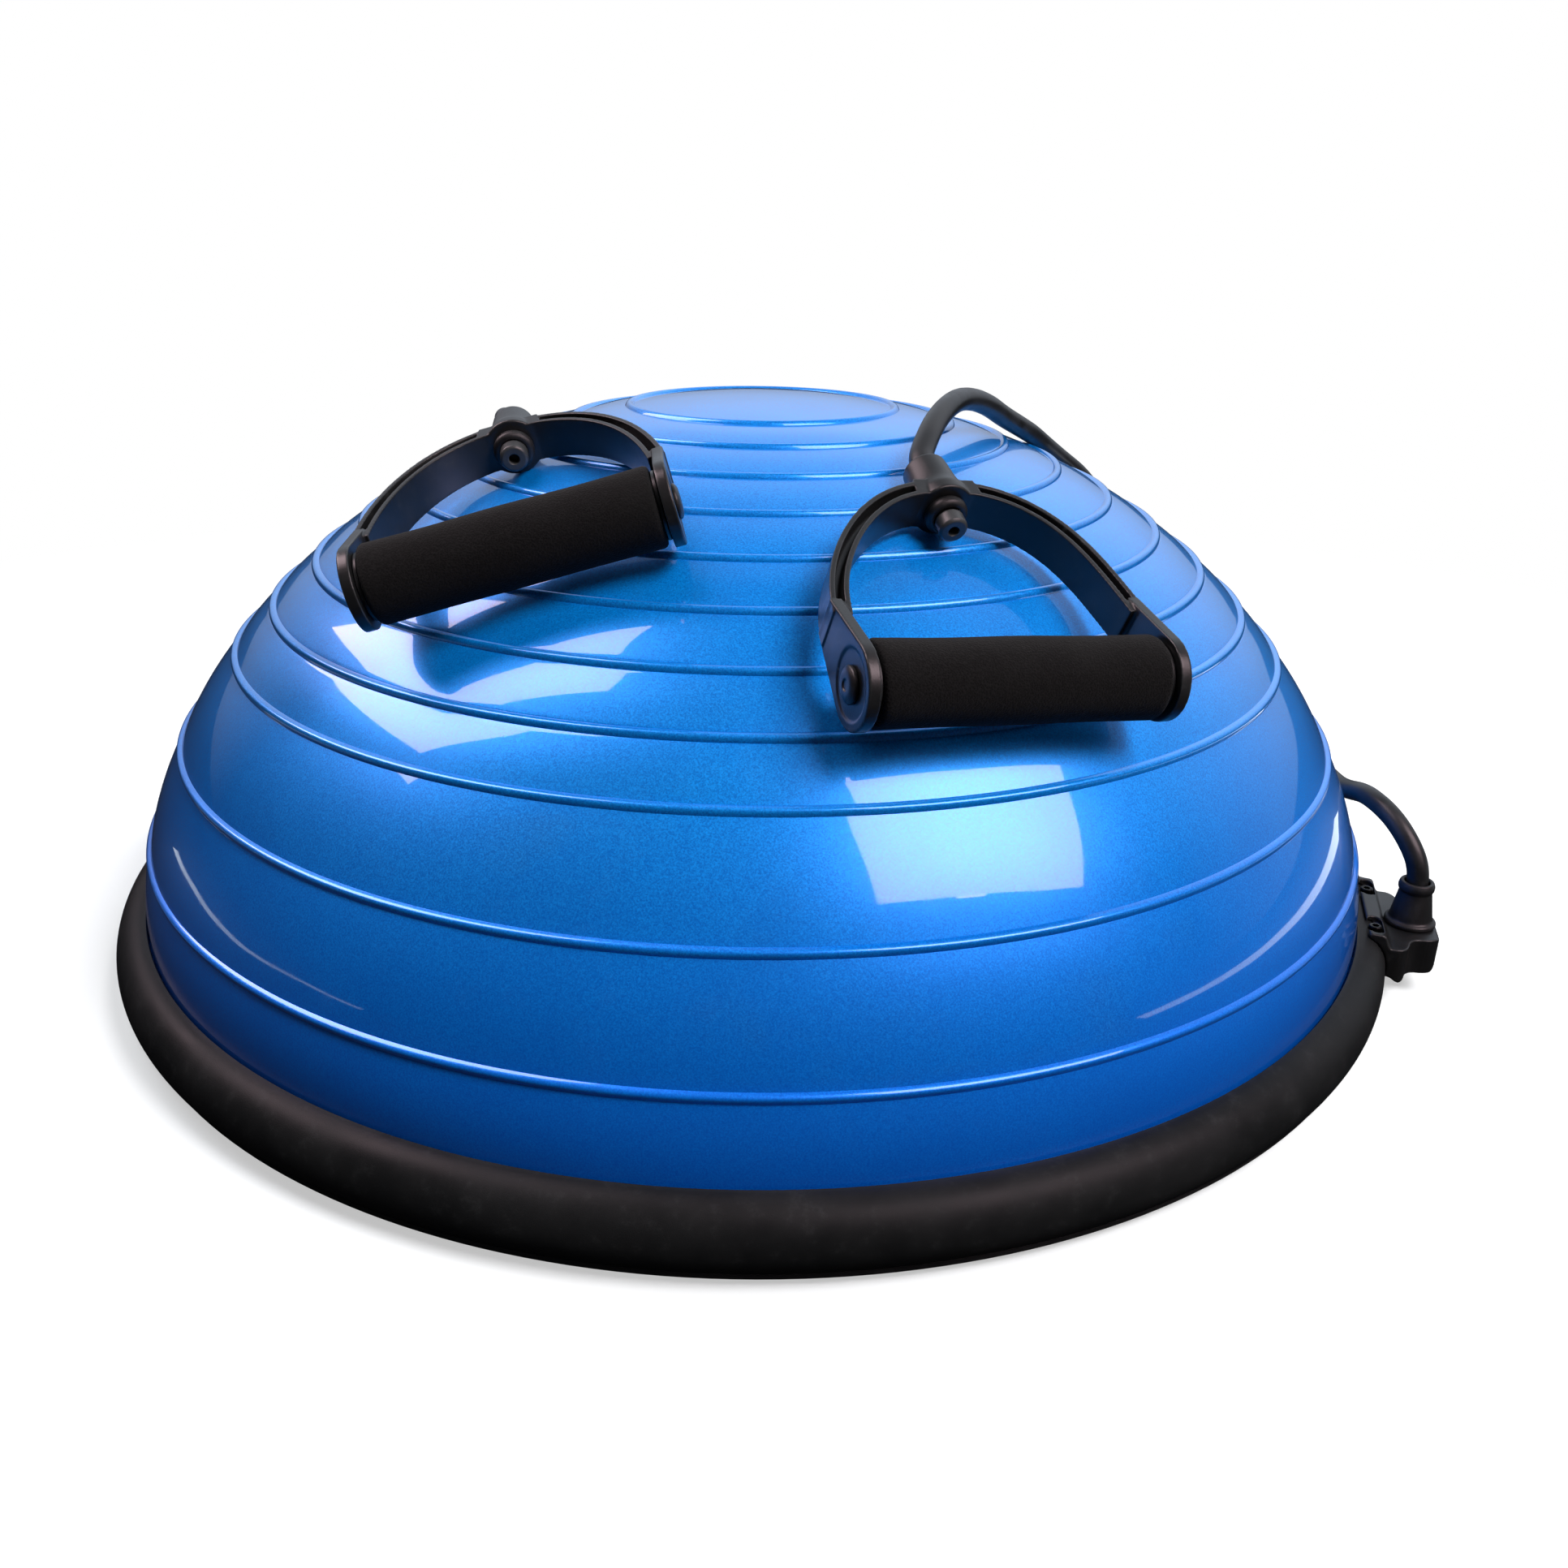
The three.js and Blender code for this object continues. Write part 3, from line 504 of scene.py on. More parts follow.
def bead_distances():
    last = BEAD_FIRST + (BEAD_NARROW - 1) * BEAD_PITCH
    narrow = [BEAD_FIRST + i * BEAD_PITCH for i in range(BEAD_NARROW)]
    return narrow + [last + i * BEAD_WIDE_PITCH for i in range(1, BEAD_WIDE + 1)]


def relief(distance, beads):
    """How far the moulded skin stands out: a rounded bead, and between beads a slight swell."""
    near = min(abs(distance - bead) for bead in beads)
    if near < BEAD_HALF:
        return BEAD_HEIGHT * math.cos(near / BEAD_HALF * math.pi / 2) ** 0.8
    if distance < beads[0] or distance >= ARC_TOTAL:
        return 0.0
    low = max(bead for bead in beads if bead <= distance)
    high = min(edge for edge in (*beads, ARC_TOTAL) if edge > distance)
    return PILLOW * math.sin(math.pi * (distance - low) / (high - low))


def dome():
    """An open hollow skin: its outside with the beads, its clamped edge, its floor and its inside.
    Marks along the outside lie close across a bead and wide between beads."""
    beads = bead_distances()
    marks = {0.0, ARC_TOTAL}
    for bead in beads:
        for step in range(-7, 8):
            marks.add(bead + step * BEAD_HALF / 6)
    for i in range(1, 150):
        mark = ARC_TOTAL * i / 150
        if all(abs(mark - bead) > 1.4 * BEAD_HALF for bead in beads):
            marks.add(mark)
    outer = [skin_at(s, relief(s, beads)) for s in sorted(m for m in marks if m <= ARC_TOTAL)]
    floor_top, inside = SEAT_Z + FLOOR_SKIN, DOME_RADIUS - SKIN
    clamp = [(DOME_RADIUS, CLAMP_TOP), (CLAMP_RADIUS, CLAMP_TOP - 1), (CLAMP_RADIUS, SEAT_Z),
             (VALVE_HOLE, SEAT_Z), (VALVE_HOLE, floor_top), (inside, floor_top), (inside, RIM_Z)]
    inner = [skin_at(ARC_TOTAL * i / 40, -SKIN) for i in range(39, 0, -1)]
    profile = outer + clamp + inner + [(0.0, RIM_Z + DOME_RISE - SKIN)]
    return lathe(profile, DOME_SIDES, closed=False)


add("dome", dome(), "dome_bladder", LOOKS["vinyl"])

# ---- The rim and the base ----

FOOT_PLACES = [turn_z(360 / FOOT_COUNT * i) @ shift(FOOT_CIRCLE, 0, 0) for i in range(FOOT_COUNT)]
SCREW_PLACES = [turn_z(360 / SCREW_COUNT * (i + 0.5)) @ shift(SCREW_CIRCLE, 0, 0)
                for i in range(SCREW_COUNT)]


def rim_outline(grown=0.0):
    """The rim's rounded outside, from its crest down to its foot."""
    reach, arc_steps, foot_steps = RIM_NOSE - RIM_CREST, 18, 8
    points = []
    for i in range(arc_steps + 1):
        angle = math.pi / 2 * (1 - i / arc_steps)
        points.append((RIM_CREST + (reach + grown) * math.cos(angle),
                       RIM_NOSE_Z + (RIM_Z - RIM_NOSE_Z + grown) * math.sin(angle)))
    for i in range(1, foot_steps + 1):
        drop = (RIM_NOSE_Z - RIM_FOOT) * i / foot_steps
        points.append((RIM_CREST + grown + math.sqrt(reach ** 2 - drop ** 2), RIM_NOSE_Z - drop))
    return points


def retaining_ring():
    """The rim, whose inside steps in over the dome's clamped edge."""
    wall, lip = CLAMP_RADIUS + 0.4, DOME_RADIUS + 0.5
    inside = [(wall, RIM_FOOT), (wall, CLAMP_TOP - 0.4), (lip, CLAMP_TOP + 1.8), (lip, RIM_Z - 0.8),
              (lip + 0.4, RIM_Z - 0.2)]
    return lathe(rim_outline() + inside, DOME_SIDES)


def slot_outline(x, y, half_width, half_length, steps=16):
    """A slot shape with round ends, its long side along Y."""
    straight = half_length - half_width
    points = []
    for sign, start in ((1, 0.0), (-1, math.pi)):
        for k in range(steps + 1):
            angle = start + math.pi * k / steps
            points.append((x + half_width * math.cos(angle),
                           y + sign * straight + half_width * math.sin(angle)))
    return points


def base_platform():
    """The shell under the dome, with ribs inside, two grooves round its face, recesses for the
    feet and the screws, and two slots to carry it by."""
    floor_top = SEAT_Z - 0.2
    ribs, grooves = [], []
    for radius in (205.0, 110.0):
        ribs += [(radius + 1.5, BASE_TOP), (radius + 1.5, floor_top), (radius - 1.5, floor_top),
                 (radius - 1.5, BASE_TOP)]
    for radius, depth in ((62.0, 1.0), (280.0, 1.2)):
        grooves += [(radius - 2, FACE_Z), (radius - 1, FACE_Z + depth),
                    (radius + 1, FACE_Z + depth), (radius + 2, FACE_Z)]
    corners = [
        (VALVE_HOLE, 6.2), (16.5, 6.2), (16.5, FACE_Z), *grooves,
        (BASE_EDGE - 1.6, FACE_Z, 1.6), (BASE_EDGE - 0.1, 4.8), (BASE_EDGE, BASE_TOP),
        (CLAMP_RADIUS, BASE_TOP), (CLAMP_RADIUS, floor_top), (285.0, floor_top), (285.0, BASE_TOP),
        *ribs, (22.0, BASE_TOP), (22.0, floor_top), (VALVE_HOLE, floor_top),
    ]
    body = lathe(rounded(corners, 0.6, steps=3), 240)
    grip = slot_outline(CARRY_CENTRE, 0, CARRY_HALF_WIDTH, CARRY_HALF_LENGTH)
    around = slot_outline(CARRY_CENTRE, 0, CARRY_HALF_WIDTH + CARRY_WALL,
                          CARRY_HALF_LENGTH + CARRY_WALL)
    walls = [moved(extrude(around, BASE_TOP - 1, floor_top), turn_z(a)) for a in (90, 270)]
    cuts = [moved(extrude(grip, FACE_Z - 1, floor_top - 2.8), turn_z(a)) for a in (90, 270)]
    below = FACE_Z - 2
    foot_hole = rod(FOOT_RADIUS + 0.4, below, FOOT_TOP)
    screw_hole = lathe([(0, below), (3.2, below), (3.2, 5.4), (1.9, 5.4), (1.9, 8.0), (0, 8.0)], 32,
                       closed=False)
    cuts += [moved(foot_hole, place) for place in FOOT_PLACES]
    cuts += [moved(screw_hole, place) for place in SCREW_PLACES]
    return solid(body, [("UNION", merged(*walls)), ("DIFFERENCE", merged(*cuts))])


def hex_radius(inradius):
    """A ripple that makes a ring a hexagon."""
    def ripple(angle, radius, height):
        if abs(radius - inradius) > 1e-6:
            return radius
        part = (angle % (math.pi / 3)) - math.pi / 6
        return inradius / math.cos(part)
    return ripple


def screw(length):
    """A pan head with a hexagon socket, its face at z = 0 and its shank pointing up."""
    head = [(SOCKET, 0.0), (HEAD_RADIUS, 0.0, 0.7), (HEAD_RADIUS, HEAD_HEIGHT, 0.2),
            (SHANK_RADIUS, HEAD_HEIGHT)]
    profile = [(0.0, 1.3), (SOCKET, 1.3)] + rounded(head, 0.4, closed=False)
    first_turn = HEAD_HEIGHT + THREAD_PITCH / 2
    for i in range(int((length - HEAD_HEIGHT - THREAD_PITCH) / THREAD_PITCH)):
        crest = first_turn + THREAD_PITCH * i
        profile += [(SHANK_RADIUS, crest), (SHANK_RADIUS - 0.3, crest + THREAD_PITCH / 2)]
    profile += [(SHANK_RADIUS - 0.4, length - 0.3), (0.0, length)]
    return lathe(profile, 48, closed=False, ripple=hex_radius(SOCKET))


def foot():
    """A round rubber foot with three shallow grip grooves in its face."""
    corners = [(0, 0)]
    for radius in (4.0, 7.5, 11.0):
        corners += [(radius - 0.6, 0), (radius - 0.3, 0.6), (radius + 0.3, 0.6), (radius + 0.6, 0)]
    corners += [(FOOT_RADIUS - 1.2, 0), (FOOT_RADIUS, 1.2), (FOOT_RADIUS, FOOT_TOP), (0, FOOT_TOP)]
    return lathe(rounded(corners, 0.3, closed=False, steps=2), 64, closed=False)


def valve_collar():
    """The rubber seat of the air plug, with a flange on the dome's floor."""
    bore, neck, flange, low, ledge, high = 5.4, 8.8, 13, 6.5, 22.3, 24.3
    corners = [(bore, low), (neck, low), (neck, ledge), (flange, ledge), (flange, high),
               (bore, high)]
    return lathe(rounded(corners, 0.5), 64)


def air_plug():
    """A round plug with a raised finger bar across its recessed face."""
    face, recess, back, tip, head, stem = 3.4, 4.6, 5.9, 25, 15.6, 5
    corners = [(0, recess), (10.5, recess), (11.3, face), (head - 1, face), (head, face + 1),
               (head, back), (stem, back), (stem, tip - 5), (stem - 0.8, tip), (0, tip)]
    body = lathe(rounded(corners, 0.5, closed=False), 72, closed=False)
    long, wide = 9.5, 1.4
    bar = rounded([(-long, -wide), (long, -wide), (long, wide), (-long, wide)], 1.2)
    return solid(body, [("UNION", extrude(bar, face, recess + 0.4))])


add("rim_ring", retaining_ring(), "retaining_ring", LOOKS["rim"], sharp=60)
add("base_shell", base_platform(), "base_platform", LOOKS["base"])
add("valve_collar", valve_collar(), "valve_seat", LOOKS["sleeve"])
add("plug_of_valve", air_plug(), "air_plug", LOOKS["grey"])
for index, place in enumerate(SCREW_PLACES):
    add(f"base_screw_{index + 1}", screw(SCREW_LENGTH), f"rim_screw_{index + 1}", LOOKS["steel"],
        place @ shift(0, 0, SCREW_FACE))
for index, place in enumerate(FOOT_PLACES):
    add(f"rubber_foot_{index + 1}", foot(), f"foot_pad_{index + 1}", LOOKS["foot"], place)

# ---- The anchors ----


def curve(start, control, end, steps=8):
    """Points after start on a quadratic curve."""
    points = []
    for k in range(1, steps + 1):
        t = k / steps
        points.append(tuple((1 - t) ** 2 * s + 2 * t * (1 - t) * c + t * t * e
                            for s, c, e in zip(start, control, end)))
    return points


def bracket():
    """The lug on the rim: a wide root with two pockets, and a rounded nose that holds the tube."""
    nose, cheek = (ANCHOR_NOSE, 9), (319, 17.5)
    waist, shoulder = (313, 24), (307, ANCHOR_HALF)
    half = [(ANCHOR_NOSE, 0), nose, *curve(nose, (ANCHOR_NOSE, 17), cheek),
            *curve(cheek, (314, 18), waist), *curve(waist, (311.5, ANCHOR_HALF), shoulder),
            (ANCHOR_ROOT - 1.5, ANCHOR_HALF)]
    plan = extrude(half + [(x, -y) for x, y in reversed(half[1:])], 0, 45)
    side = [
        (ANCHOR_ROOT, 34.6), (301.5, 33.9), (303.4, ANCHOR_TOP + 1.2), (304.2, ANCHOR_TOP),
        (312, ANCHOR_TOP), (326, ANCHOR_TOP), (327.8, 26.2), (328, 13.8), (325.5, ANCHOR_FOOT),
        (310, ANCHOR_FOOT), (305.5, ANCHOR_FOOT + 3), (300, ANCHOR_FOOT + 3), (ANCHOR_ROOT, 25),
    ]
    limit = extrude(rounded(side, 1.2, steps=3), -ANCHOR_HALF - 3, ANCHOR_HALF + 3)
    upright = Matrix(((1, 0, 0, 0), (0, 0, -1, 0), (0, 1, 0, 0), (0, 0, 0, 1)))
    gap = 0.3
    inside = RIM_CREST - 2
    rim = lathe([(inside, RIM_Z + gap), *rim_outline(gap), (inside, RIM_FOOT)], 720)
    bore = [(0, 0), (CUP_RADIUS, 0), (CUP_RADIUS, CUP_TOP), (ANCHOR_BORE, CUP_TOP),
            (ANCHOR_BORE, 40), (0, 40)]
    pockets, holes = [], []
    for way in (-1, 1):
        y = way * ANCHOR_SCREW_Y
        pockets.append(extrude(slot_outline(ANCHOR_SCREW_X, y, 3.3, 8), 31.2, 40))
        holes.append(moved(rod(SHANK_RADIUS + 0.3, 20, 32, 24), shift(ANCHOR_SCREW_X, y, 0)))
    steps = [
        ("INTERSECT", moved(limit, upright)), ("DIFFERENCE", rim),
        ("DIFFERENCE", moved(lathe(bore, 48, closed=False), shift(ANCHOR_X, 0, 0))),
        ("DIFFERENCE", merged(*pockets)), ("DIFFERENCE", merged(*holes)),
    ]
    return solid(plan, steps, voxel=MOULD_VOXEL, smooth=5)


def sleeve():
    """The tapered rubber strain relief: a flared foot, a waist and a rolled lip."""
    low, top, foot_radius = ANCHOR_TOP + 0.2, SLEEVE_TOP, 11.2
    corners = [
        (ANCHOR_BORE, low), (foot_radius, low, 0.8), (foot_radius, low + 1.9, 0.9),
        (9.5, low + 2.8, 1.2), (8.9, low + 6.0, 2.0), (7.1, top - 4.9, 1.2), (7.8, top - 3.8, 0.8),
        (7.9, top - 1.9, 1.0), (7.2, top - 0.1, 0.8), (6.1, top, 0.5),
        (ANCHOR_BORE, top - 0.6, 0.4),
    ]
    return lathe(rounded(corners, 0.6, steps=5), 96)


def tube_plug(head, head_height, stem_length):
    """A plug whose stem sits in the tube's end and whose head, below it, has a blind hole."""
    stem, chamfer = 2.2, 0.9
    corners = [(0, stem_length), (stem, stem_length), (stem, 0), (head, 0),
               (head, chamfer - head_height), (head - chamfer, -head_height),
               (2.1, -head_height), (2.0, -1.2), (0, -1.2)]
    return lathe(rounded(corners, 0.45, closed=False), 64, closed=False)


bracket_shape = bracket()
for side, spin in zip(SIDES, (0, 180)):
    around = turn_z(spin)
    axis = around @ shift(ANCHOR_X, 0, 0)
    add(f"bracket_{side}", bracket_shape, f"anchor_bracket_{side}", LOOKS["bracket"], around,
        sharp=180)
    add(f"sleeve_{side}", sleeve(), f"anchor_sleeve_{side}", LOOKS["sleeve"], axis, sharp=80)
    add(f"anchor_plug_{side}", tube_plug(7.4, 4, 13), f"anchor_stopper_{side}", LOOKS["grey"],
        axis @ shift(0, 0, CUP_TOP - 0.8))
    for index, way in enumerate((-1, 1)):
        seat = around @ shift(ANCHOR_SCREW_X, way * ANCHOR_SCREW_Y, RIM_Z + 0.7)
        add(f"lug_screw_{side}_{index + 1}", screw(ANCHOR_SCREW_LENGTH),
            f"anchor_screw_{side}_{index + 1}", LOOKS["dark_steel"],
            seat @ Matrix.Rotation(math.pi, 4, "X"))

# ---- The handles, each in its own X-Y plane with the grip along X at the origin ----

ALONG_X = Matrix(((0, 0, 1, 0), (1, 0, 0, 0), (0, 1, 0, 0), (0, 0, 0, 1)))
ALONG_Y = Matrix(((0, 1, 0, 0), (0, 0, 1, 0), (1, 0, 0, 0), (0, 0, 0, 1)))


def arch(t, lean):
    """A point of the strap's middle line, t going from 0 at one end to 1 at the other."""
    angle = math.pi - YOKE_ENDS - t * (math.pi - 2 * YOKE_ENDS)
    across = math.copysign(abs(math.cos(angle)) ** (2 / YOKE_POWER), math.cos(angle))
    up = math.sin(angle) ** (2 / YOKE_POWER)
    rise = max((up - PLATE_NECK / YOKE_HEIGHT) / (1 - PLATE_NECK / YOKE_HEIGHT), 0.0)
    pulled = lean * rise * rise * (3 - 2 * rise)
    return Vector((YOKE_HALF * across + pulled, YOKE_HEIGHT * up, 0))


def strap(lean):
    """Two walls joined by a web, so that both faces of the strap show a groove."""
    wide, thick, web = YOKE_WIDE / 2, YOKE_THICK / 2, YOKE_WEB / 2
    groove = thick - YOKE_WALL
    corners = [(-wide, -thick), (wide, -thick), (wide, -groove), (web, -groove), (web, groove),
               (wide, groove), (wide, thick), (-wide, thick), (-wide, groove), (-web, groove),
               (-web, -groove), (-wide, -groove)]
    dense = [tuple(arch(i / 600, lean)) for i in range(601)]
    path = [Vector(p) for p in evenly(dense, 111)]
    return sweep(corners, path, [Vector((0, 0, 1))] * len(path))


def plate_outline():
    """A disc drawn out towards the strap, as (along Y, along Z) points."""
    half = YOKE_WIDE / 2
    spread = math.acos(PLATE_RADIUS / math.hypot(PLATE_NECK, half))
    angle = math.atan2(half, PLATE_NECK) + spread
    points = [(PLATE_NECK, -half), (PLATE_NECK, half)]
    steps = 48
    for k in range(steps + 1):
        a = angle + 2 * (math.pi - angle) * k / steps
        points.append((PLATE_RADIUS * math.cos(a), PLATE_RADIUS * math.sin(a)))
    return points


def yoke(lean):
    """The strap with its boss and saddle at the crown and a dished plate at each end."""
    inner, outer, half = BOSS_INNER, BOSS_OUTER, YOKE_WIDE / 2
    flare = [(0, inner), (11.6, inner), (11.2, inner + 5), (10.0, inner + 9, 3.0),
             (BOSS_RADIUS, inner + 13, 3.0), (BOSS_TIP, outer, 0.6), (0, outer)]
    crown = shift(lean, 0, 0)
    boss = moved(lathe(rounded(flare, 1.0, closed=False), 64, closed=False), crown @ ALONG_Y)
    wide, narrow, high = 13.5, 12.4, inner + 8.5
    saddle = extrude([(-wide, inner), (wide, inner), (narrow, high), (-narrow, high)], -half, half)
    steps = [("UNION", boss), ("UNION", moved(saddle, crown))]
    for low in (PLATE_INNER, -PLATE_INNER - PLATE_THICK):
        steps.append(("UNION", moved(extrude(plate_outline(), low, low + PLATE_THICK), ALONG_X)))
    face = PLATE_INNER + PLATE_THICK
    dish = lathe([(0, face - 0.5), (12.0, face - 0.5), (12.9, face + 1), (0, face + 1)], 64,
                 closed=False)
    for way in (1, -1):
        steps.append(("DIFFERENCE", moved(dish, Matrix.Scale(way, 4, (1, 0, 0)) @ ALONG_X)))
    bore = moved(rod(BOSS_BORE, inner - 9, outer + 9), crown @ ALONG_Y)
    steps += [("DIFFERENCE", bore), ("DIFFERENCE", moved(rod(PIN_BORE, -80, 80), ALONG_X))]
    return solid(strap(lean), steps, voxel=MOULD_VOXEL, smooth=4)


def foam_grip():
    """A foam sleeve with rolled ends, very slightly uneven along its length."""
    half, full, roll, steps = GRIP_HALF, FOAM_RADIUS, 1.8, 60
    outside = []
    for i in range(steps + 1):
        x = -half + roll + 2 * (half - roll) * i / steps
        outside.append((full - 0.12 + 0.12 * math.cos(x / 9.0), x))
    ends = [(CORE_RADIUS + 0.3, -half), (full - 2.4, -half - 0.1), (full - 1.1, -half + 0.2),
            (full - 0.4, -half + 0.8)]
    far = [(r, -x) for r, x in reversed(ends)]

    def uneven(angle, radius, height):
        if radius < full - 2.5:
            return radius
        swell = math.sin(2 * angle + height / 17) * math.sin(height / 23 + angle)
        return radius - 0.1 + 0.1 * swell

    return moved(lathe(ends + outside + far, 120, ripple=uneven), ALONG_X)


def grip_core():
    corners = [(CORE_BORE, -GRIP_HALF), (CORE_RADIUS, -GRIP_HALF), (CORE_RADIUS, GRIP_HALF),
               (CORE_BORE, GRIP_HALF)]
    return moved(lathe(rounded(corners, 0.3), 64), ALONG_X)


def grip_bush():
    """A flanged bush in the core's end, its flange between the foam and the yoke's plate."""
    start, low, high = GRIP_HALF - 12, GRIP_HALF + 0.3, PLATE_INNER - 0.3
    outside, flange = CORE_BORE - 0.3, 12.6
    corners = [(PIN_BORE, start), (outside, start), (outside, low), (flange, low), (flange, high),
               (PIN_BORE, high)]
    return moved(lathe(rounded(corners, 0.35), 96), ALONG_X)


def pivot_pin():
    """A pin whose low domed head sits in the yoke's dished plate."""
    face, head = PLATE_INNER + PLATE_THICK - 0.2, 6.5
    corners = [(0, PIN_START), (PIN_RADIUS, PIN_START), (PIN_RADIUS, face), (head, face),
               (head, face + 1.2, 1.0), (4.6, face + 2.2, 1.5), (2.2, face + 2.3, 0.4),
               (1.8, face + 1.8, 0.3), (0, face + 1.8)]
    return moved(lathe(rounded(corners, 0.4, closed=False), 64, closed=False), ALONG_X)


def stop_ring():
    """The ring round the tube's end, just inside the boss."""
    low, high, bore, outside = TUBE_END + 0.6, BOSS_INNER - 0.3, 5.3, 8.2
    corners = [(bore, low), (7.0, low, 0.6), (outside, low + 1.2, 1.0), (outside, high - 1.2, 1.0),
               (7.5, high, 0.5), (bore, high)]
    return moved(lathe(rounded(corners, 0.5), 80), ALONG_Y)


def handle_place(side):
    """The handle's own frame, read from the axes of its two hinges."""
    spin, tilt = JOINTS[f"{side}_grip_spin"], JOINTS[f"{side}_tilt"]
    centre = Vector(spin["pos_m"]) * 1000
    along = Vector(spin["axis"]).normalized()
    tip = Vector(tilt["pos_m"]) * 1000 + Vector((0, 0, HINGE_DROP))
    crown = (tip - centre - along * LEAN[side]).normalized()
    turn = Matrix((along, crown, along.cross(crown))).transposed().to_4x4()
    return Matrix.Translation(centre) @ turn


HALF_TURN = Matrix.Rotation(math.pi, 4, "Z")
PLACES = {side: handle_place(side) for side in SIDES}
for side in SIDES:
    place = PLACES[side]
    crown_place = place @ shift(LEAN[side], 0, 0)
    add(f"yoke_{side}", yoke(LEAN[side]), f"handle_yoke_{side}", LOOKS["yoke"], place, sharp=180)
    add(f"foam_{side}", foam_grip(), f"foam_grip_{side}", LOOKS["foam"], place, sharp=80)
    add(f"core_{side}", grip_core(), f"grip_core_{side}", LOOKS["grey"], place)
    add(f"tube_ring_{side}", stop_ring(), f"stop_ring_{side}", LOOKS["sleeve"], crown_place)
    plug = moved(tube_plug(5.6, 6.2, 13), ALONG_Y)
    add(f"tube_plug_{side}", plug, f"tube_stopper_{side}", LOOKS["grey"],
        crown_place @ shift(0, TUBE_END - 0.3, 0))
    for index, flip in enumerate((Matrix(), HALF_TURN)):
        add(f"bush_{side}_{index + 1}", grip_bush(), f"grip_bush_{side}_{index + 1}",
            LOOKS["yoke"], place @ flip)
        add(f"pin_{side}_{index + 1}", pivot_pin(), f"pivot_pin_{side}_{index + 1}",
            LOOKS["yoke"], place @ flip)

# ---- The tubes ----

ROUTE_STEP = 2.0
BEND_LENGTH = {"right": 44.0, "left": 25.0}  # how far behind each boss, along the tube, lies the first point passed in blend
SEAM_BACK = 60.0  # where the two runs of a tube meet, measured back from the boss
STAY_Z = 50.0  # the height of the first point passed in blend for each tube's run on the dome
SEAM_DROP = 6.0  # how far below its seam lies the second point passed in blend for that run

# Points in the air are x, y, z. Points laid on the dome are an azimuth in degrees and a distance
# along the skin from the crown. The last arc is the right tube's way down into its anchor.
AIR = {
    "right": [(91, -76, 248.5), (92.3, -56, 254), (95, -36, 256.6), (98.5, -16, 255),
              (102.6, 4, 250.5), (107, 30, 242.6)],
    "left": [(-90.6, -71, 243.8), (-97.3, -57.5, 241.3), (-105, -44, 239.4)],
}
LAID = {
    "right": [(28.4, 129), (35.5, 144), (40, 160), (42.2, 178), (42.6, 192), (44.5, 212),
              (47.5, 236), (51, 258), (54, 280), (56, 301), (56.5, 323), (53, 346), (43, 362),
              (32, 366), (23, 364)],
    "left": [(194.4, 119), (185.2, 125.2), (176.1, 134.7), (167.8, 146.6), (160, 161.3),
             (153, 177), (146, 196), (140, 215), (135.5, 236), (133, 256), (133, 277),
             (135.5, 300), (140, 323), (147, 346), (156.5, 362)],
}
LAST_ARC = [(283.6, 70.5, 66), (286.4, 54, 70), (292.7, 28, 77.3), (302, 13, 73.9),
            (309.9, 4.5, 65.1), (314.4, 1, 56.6), (ANCHOR_X, 0, SLEEVE_TOP), (ANCHOR_X, 0, 32.75),
            (ANCHOR_X, 0, CUP_TOP - 0.5)]


def on_dome(azimuth, distance):
    radius, height = skin_at(distance, TUBE_LAY)
    angle = math.radians(azimuth)
    return (radius * math.cos(angle), radius * math.sin(angle), height)


def spline(points, per_span=14):
    """A centripetal curve through the points."""
    p = [np.array(q, float) for q in points]
    p = [2 * p[0] - p[1]] + p + [2 * p[-1] - p[-2]]
    out = []
    for i in range(1, len(p) - 2):
        a, b, c = (np.linalg.norm(p[i + k + 1] - p[i + k]) ** 0.5 for k in (-1, 0, 1))
        before, here, after = p[i] - p[i - 1], p[i + 1] - p[i], p[i + 2] - p[i + 1]
        leave = b * (before / a - (before + here) / (a + b) + here / b)
        arrive = b * (here / b - (here + after) / (b + c) + after / c)
        for k in range(per_span):
            t = k / per_span
            out.append((2 * t ** 3 - 3 * t ** 2 + 1) * p[i] + (t ** 3 - 2 * t ** 2 + t) * leave
                       + (3 * t ** 2 - 2 * t ** 3) * p[i + 1] + (t ** 3 - t ** 2) * arrive)
    return out + [p[-2]]


def softened(points, rounds):
    """Evens out the curve's bends without moving its straight ends."""
    points = points.copy()
    for _ in range(rounds):
        points[3:-3] = (points[2:-4] + 2 * points[3:-3] + points[4:-2]) / 4
    return points


def tube_route(side):
    mirror = -1 if side == "left" else 1
    marks = (TUBE_END, (TUBE_END + BOSS_OUTER) / 2, BOSS_OUTER, BOSS_OUTER + 5)
    handle = [tuple(PLACES[side] @ Vector((LEAN[side], y, 0))) for y in marks]
    laid = [on_dome(*place) for place in LAID[side]]
    last = [(mirror * x, y, z) for x, y, z in LAST_ARC]
    curve_points = np.array(spline(handle + AIR[side] + laid + last))
    count = int(run_lengths(curve_points)[-1] / ROUTE_STEP) + 1
    return softened(evenly(curve_points, count), 6)


def tube(points, sides=28):
    """A round tube along the points, closed at both ends."""
    path = [Vector(p) for p in points]
    normal = Vector((0, 0, 1)).cross(path[1] - path[0]).normalized()
    normals = []
    for i in range(len(path)):
        ahead = (path[min(i + 1, len(path) - 1)] - path[max(i - 1, 0)]).normalized()
        normal = (normal - ahead * normal.dot(ahead)).normalized()
        normals.append(normal)
    ring = [(TUBE_RADIUS * math.cos(2 * math.pi * k / sides),
             TUBE_RADIUS * math.sin(2 * math.pi * k / sides)) for k in range(sides)]
    return sweep(ring, path, normals)


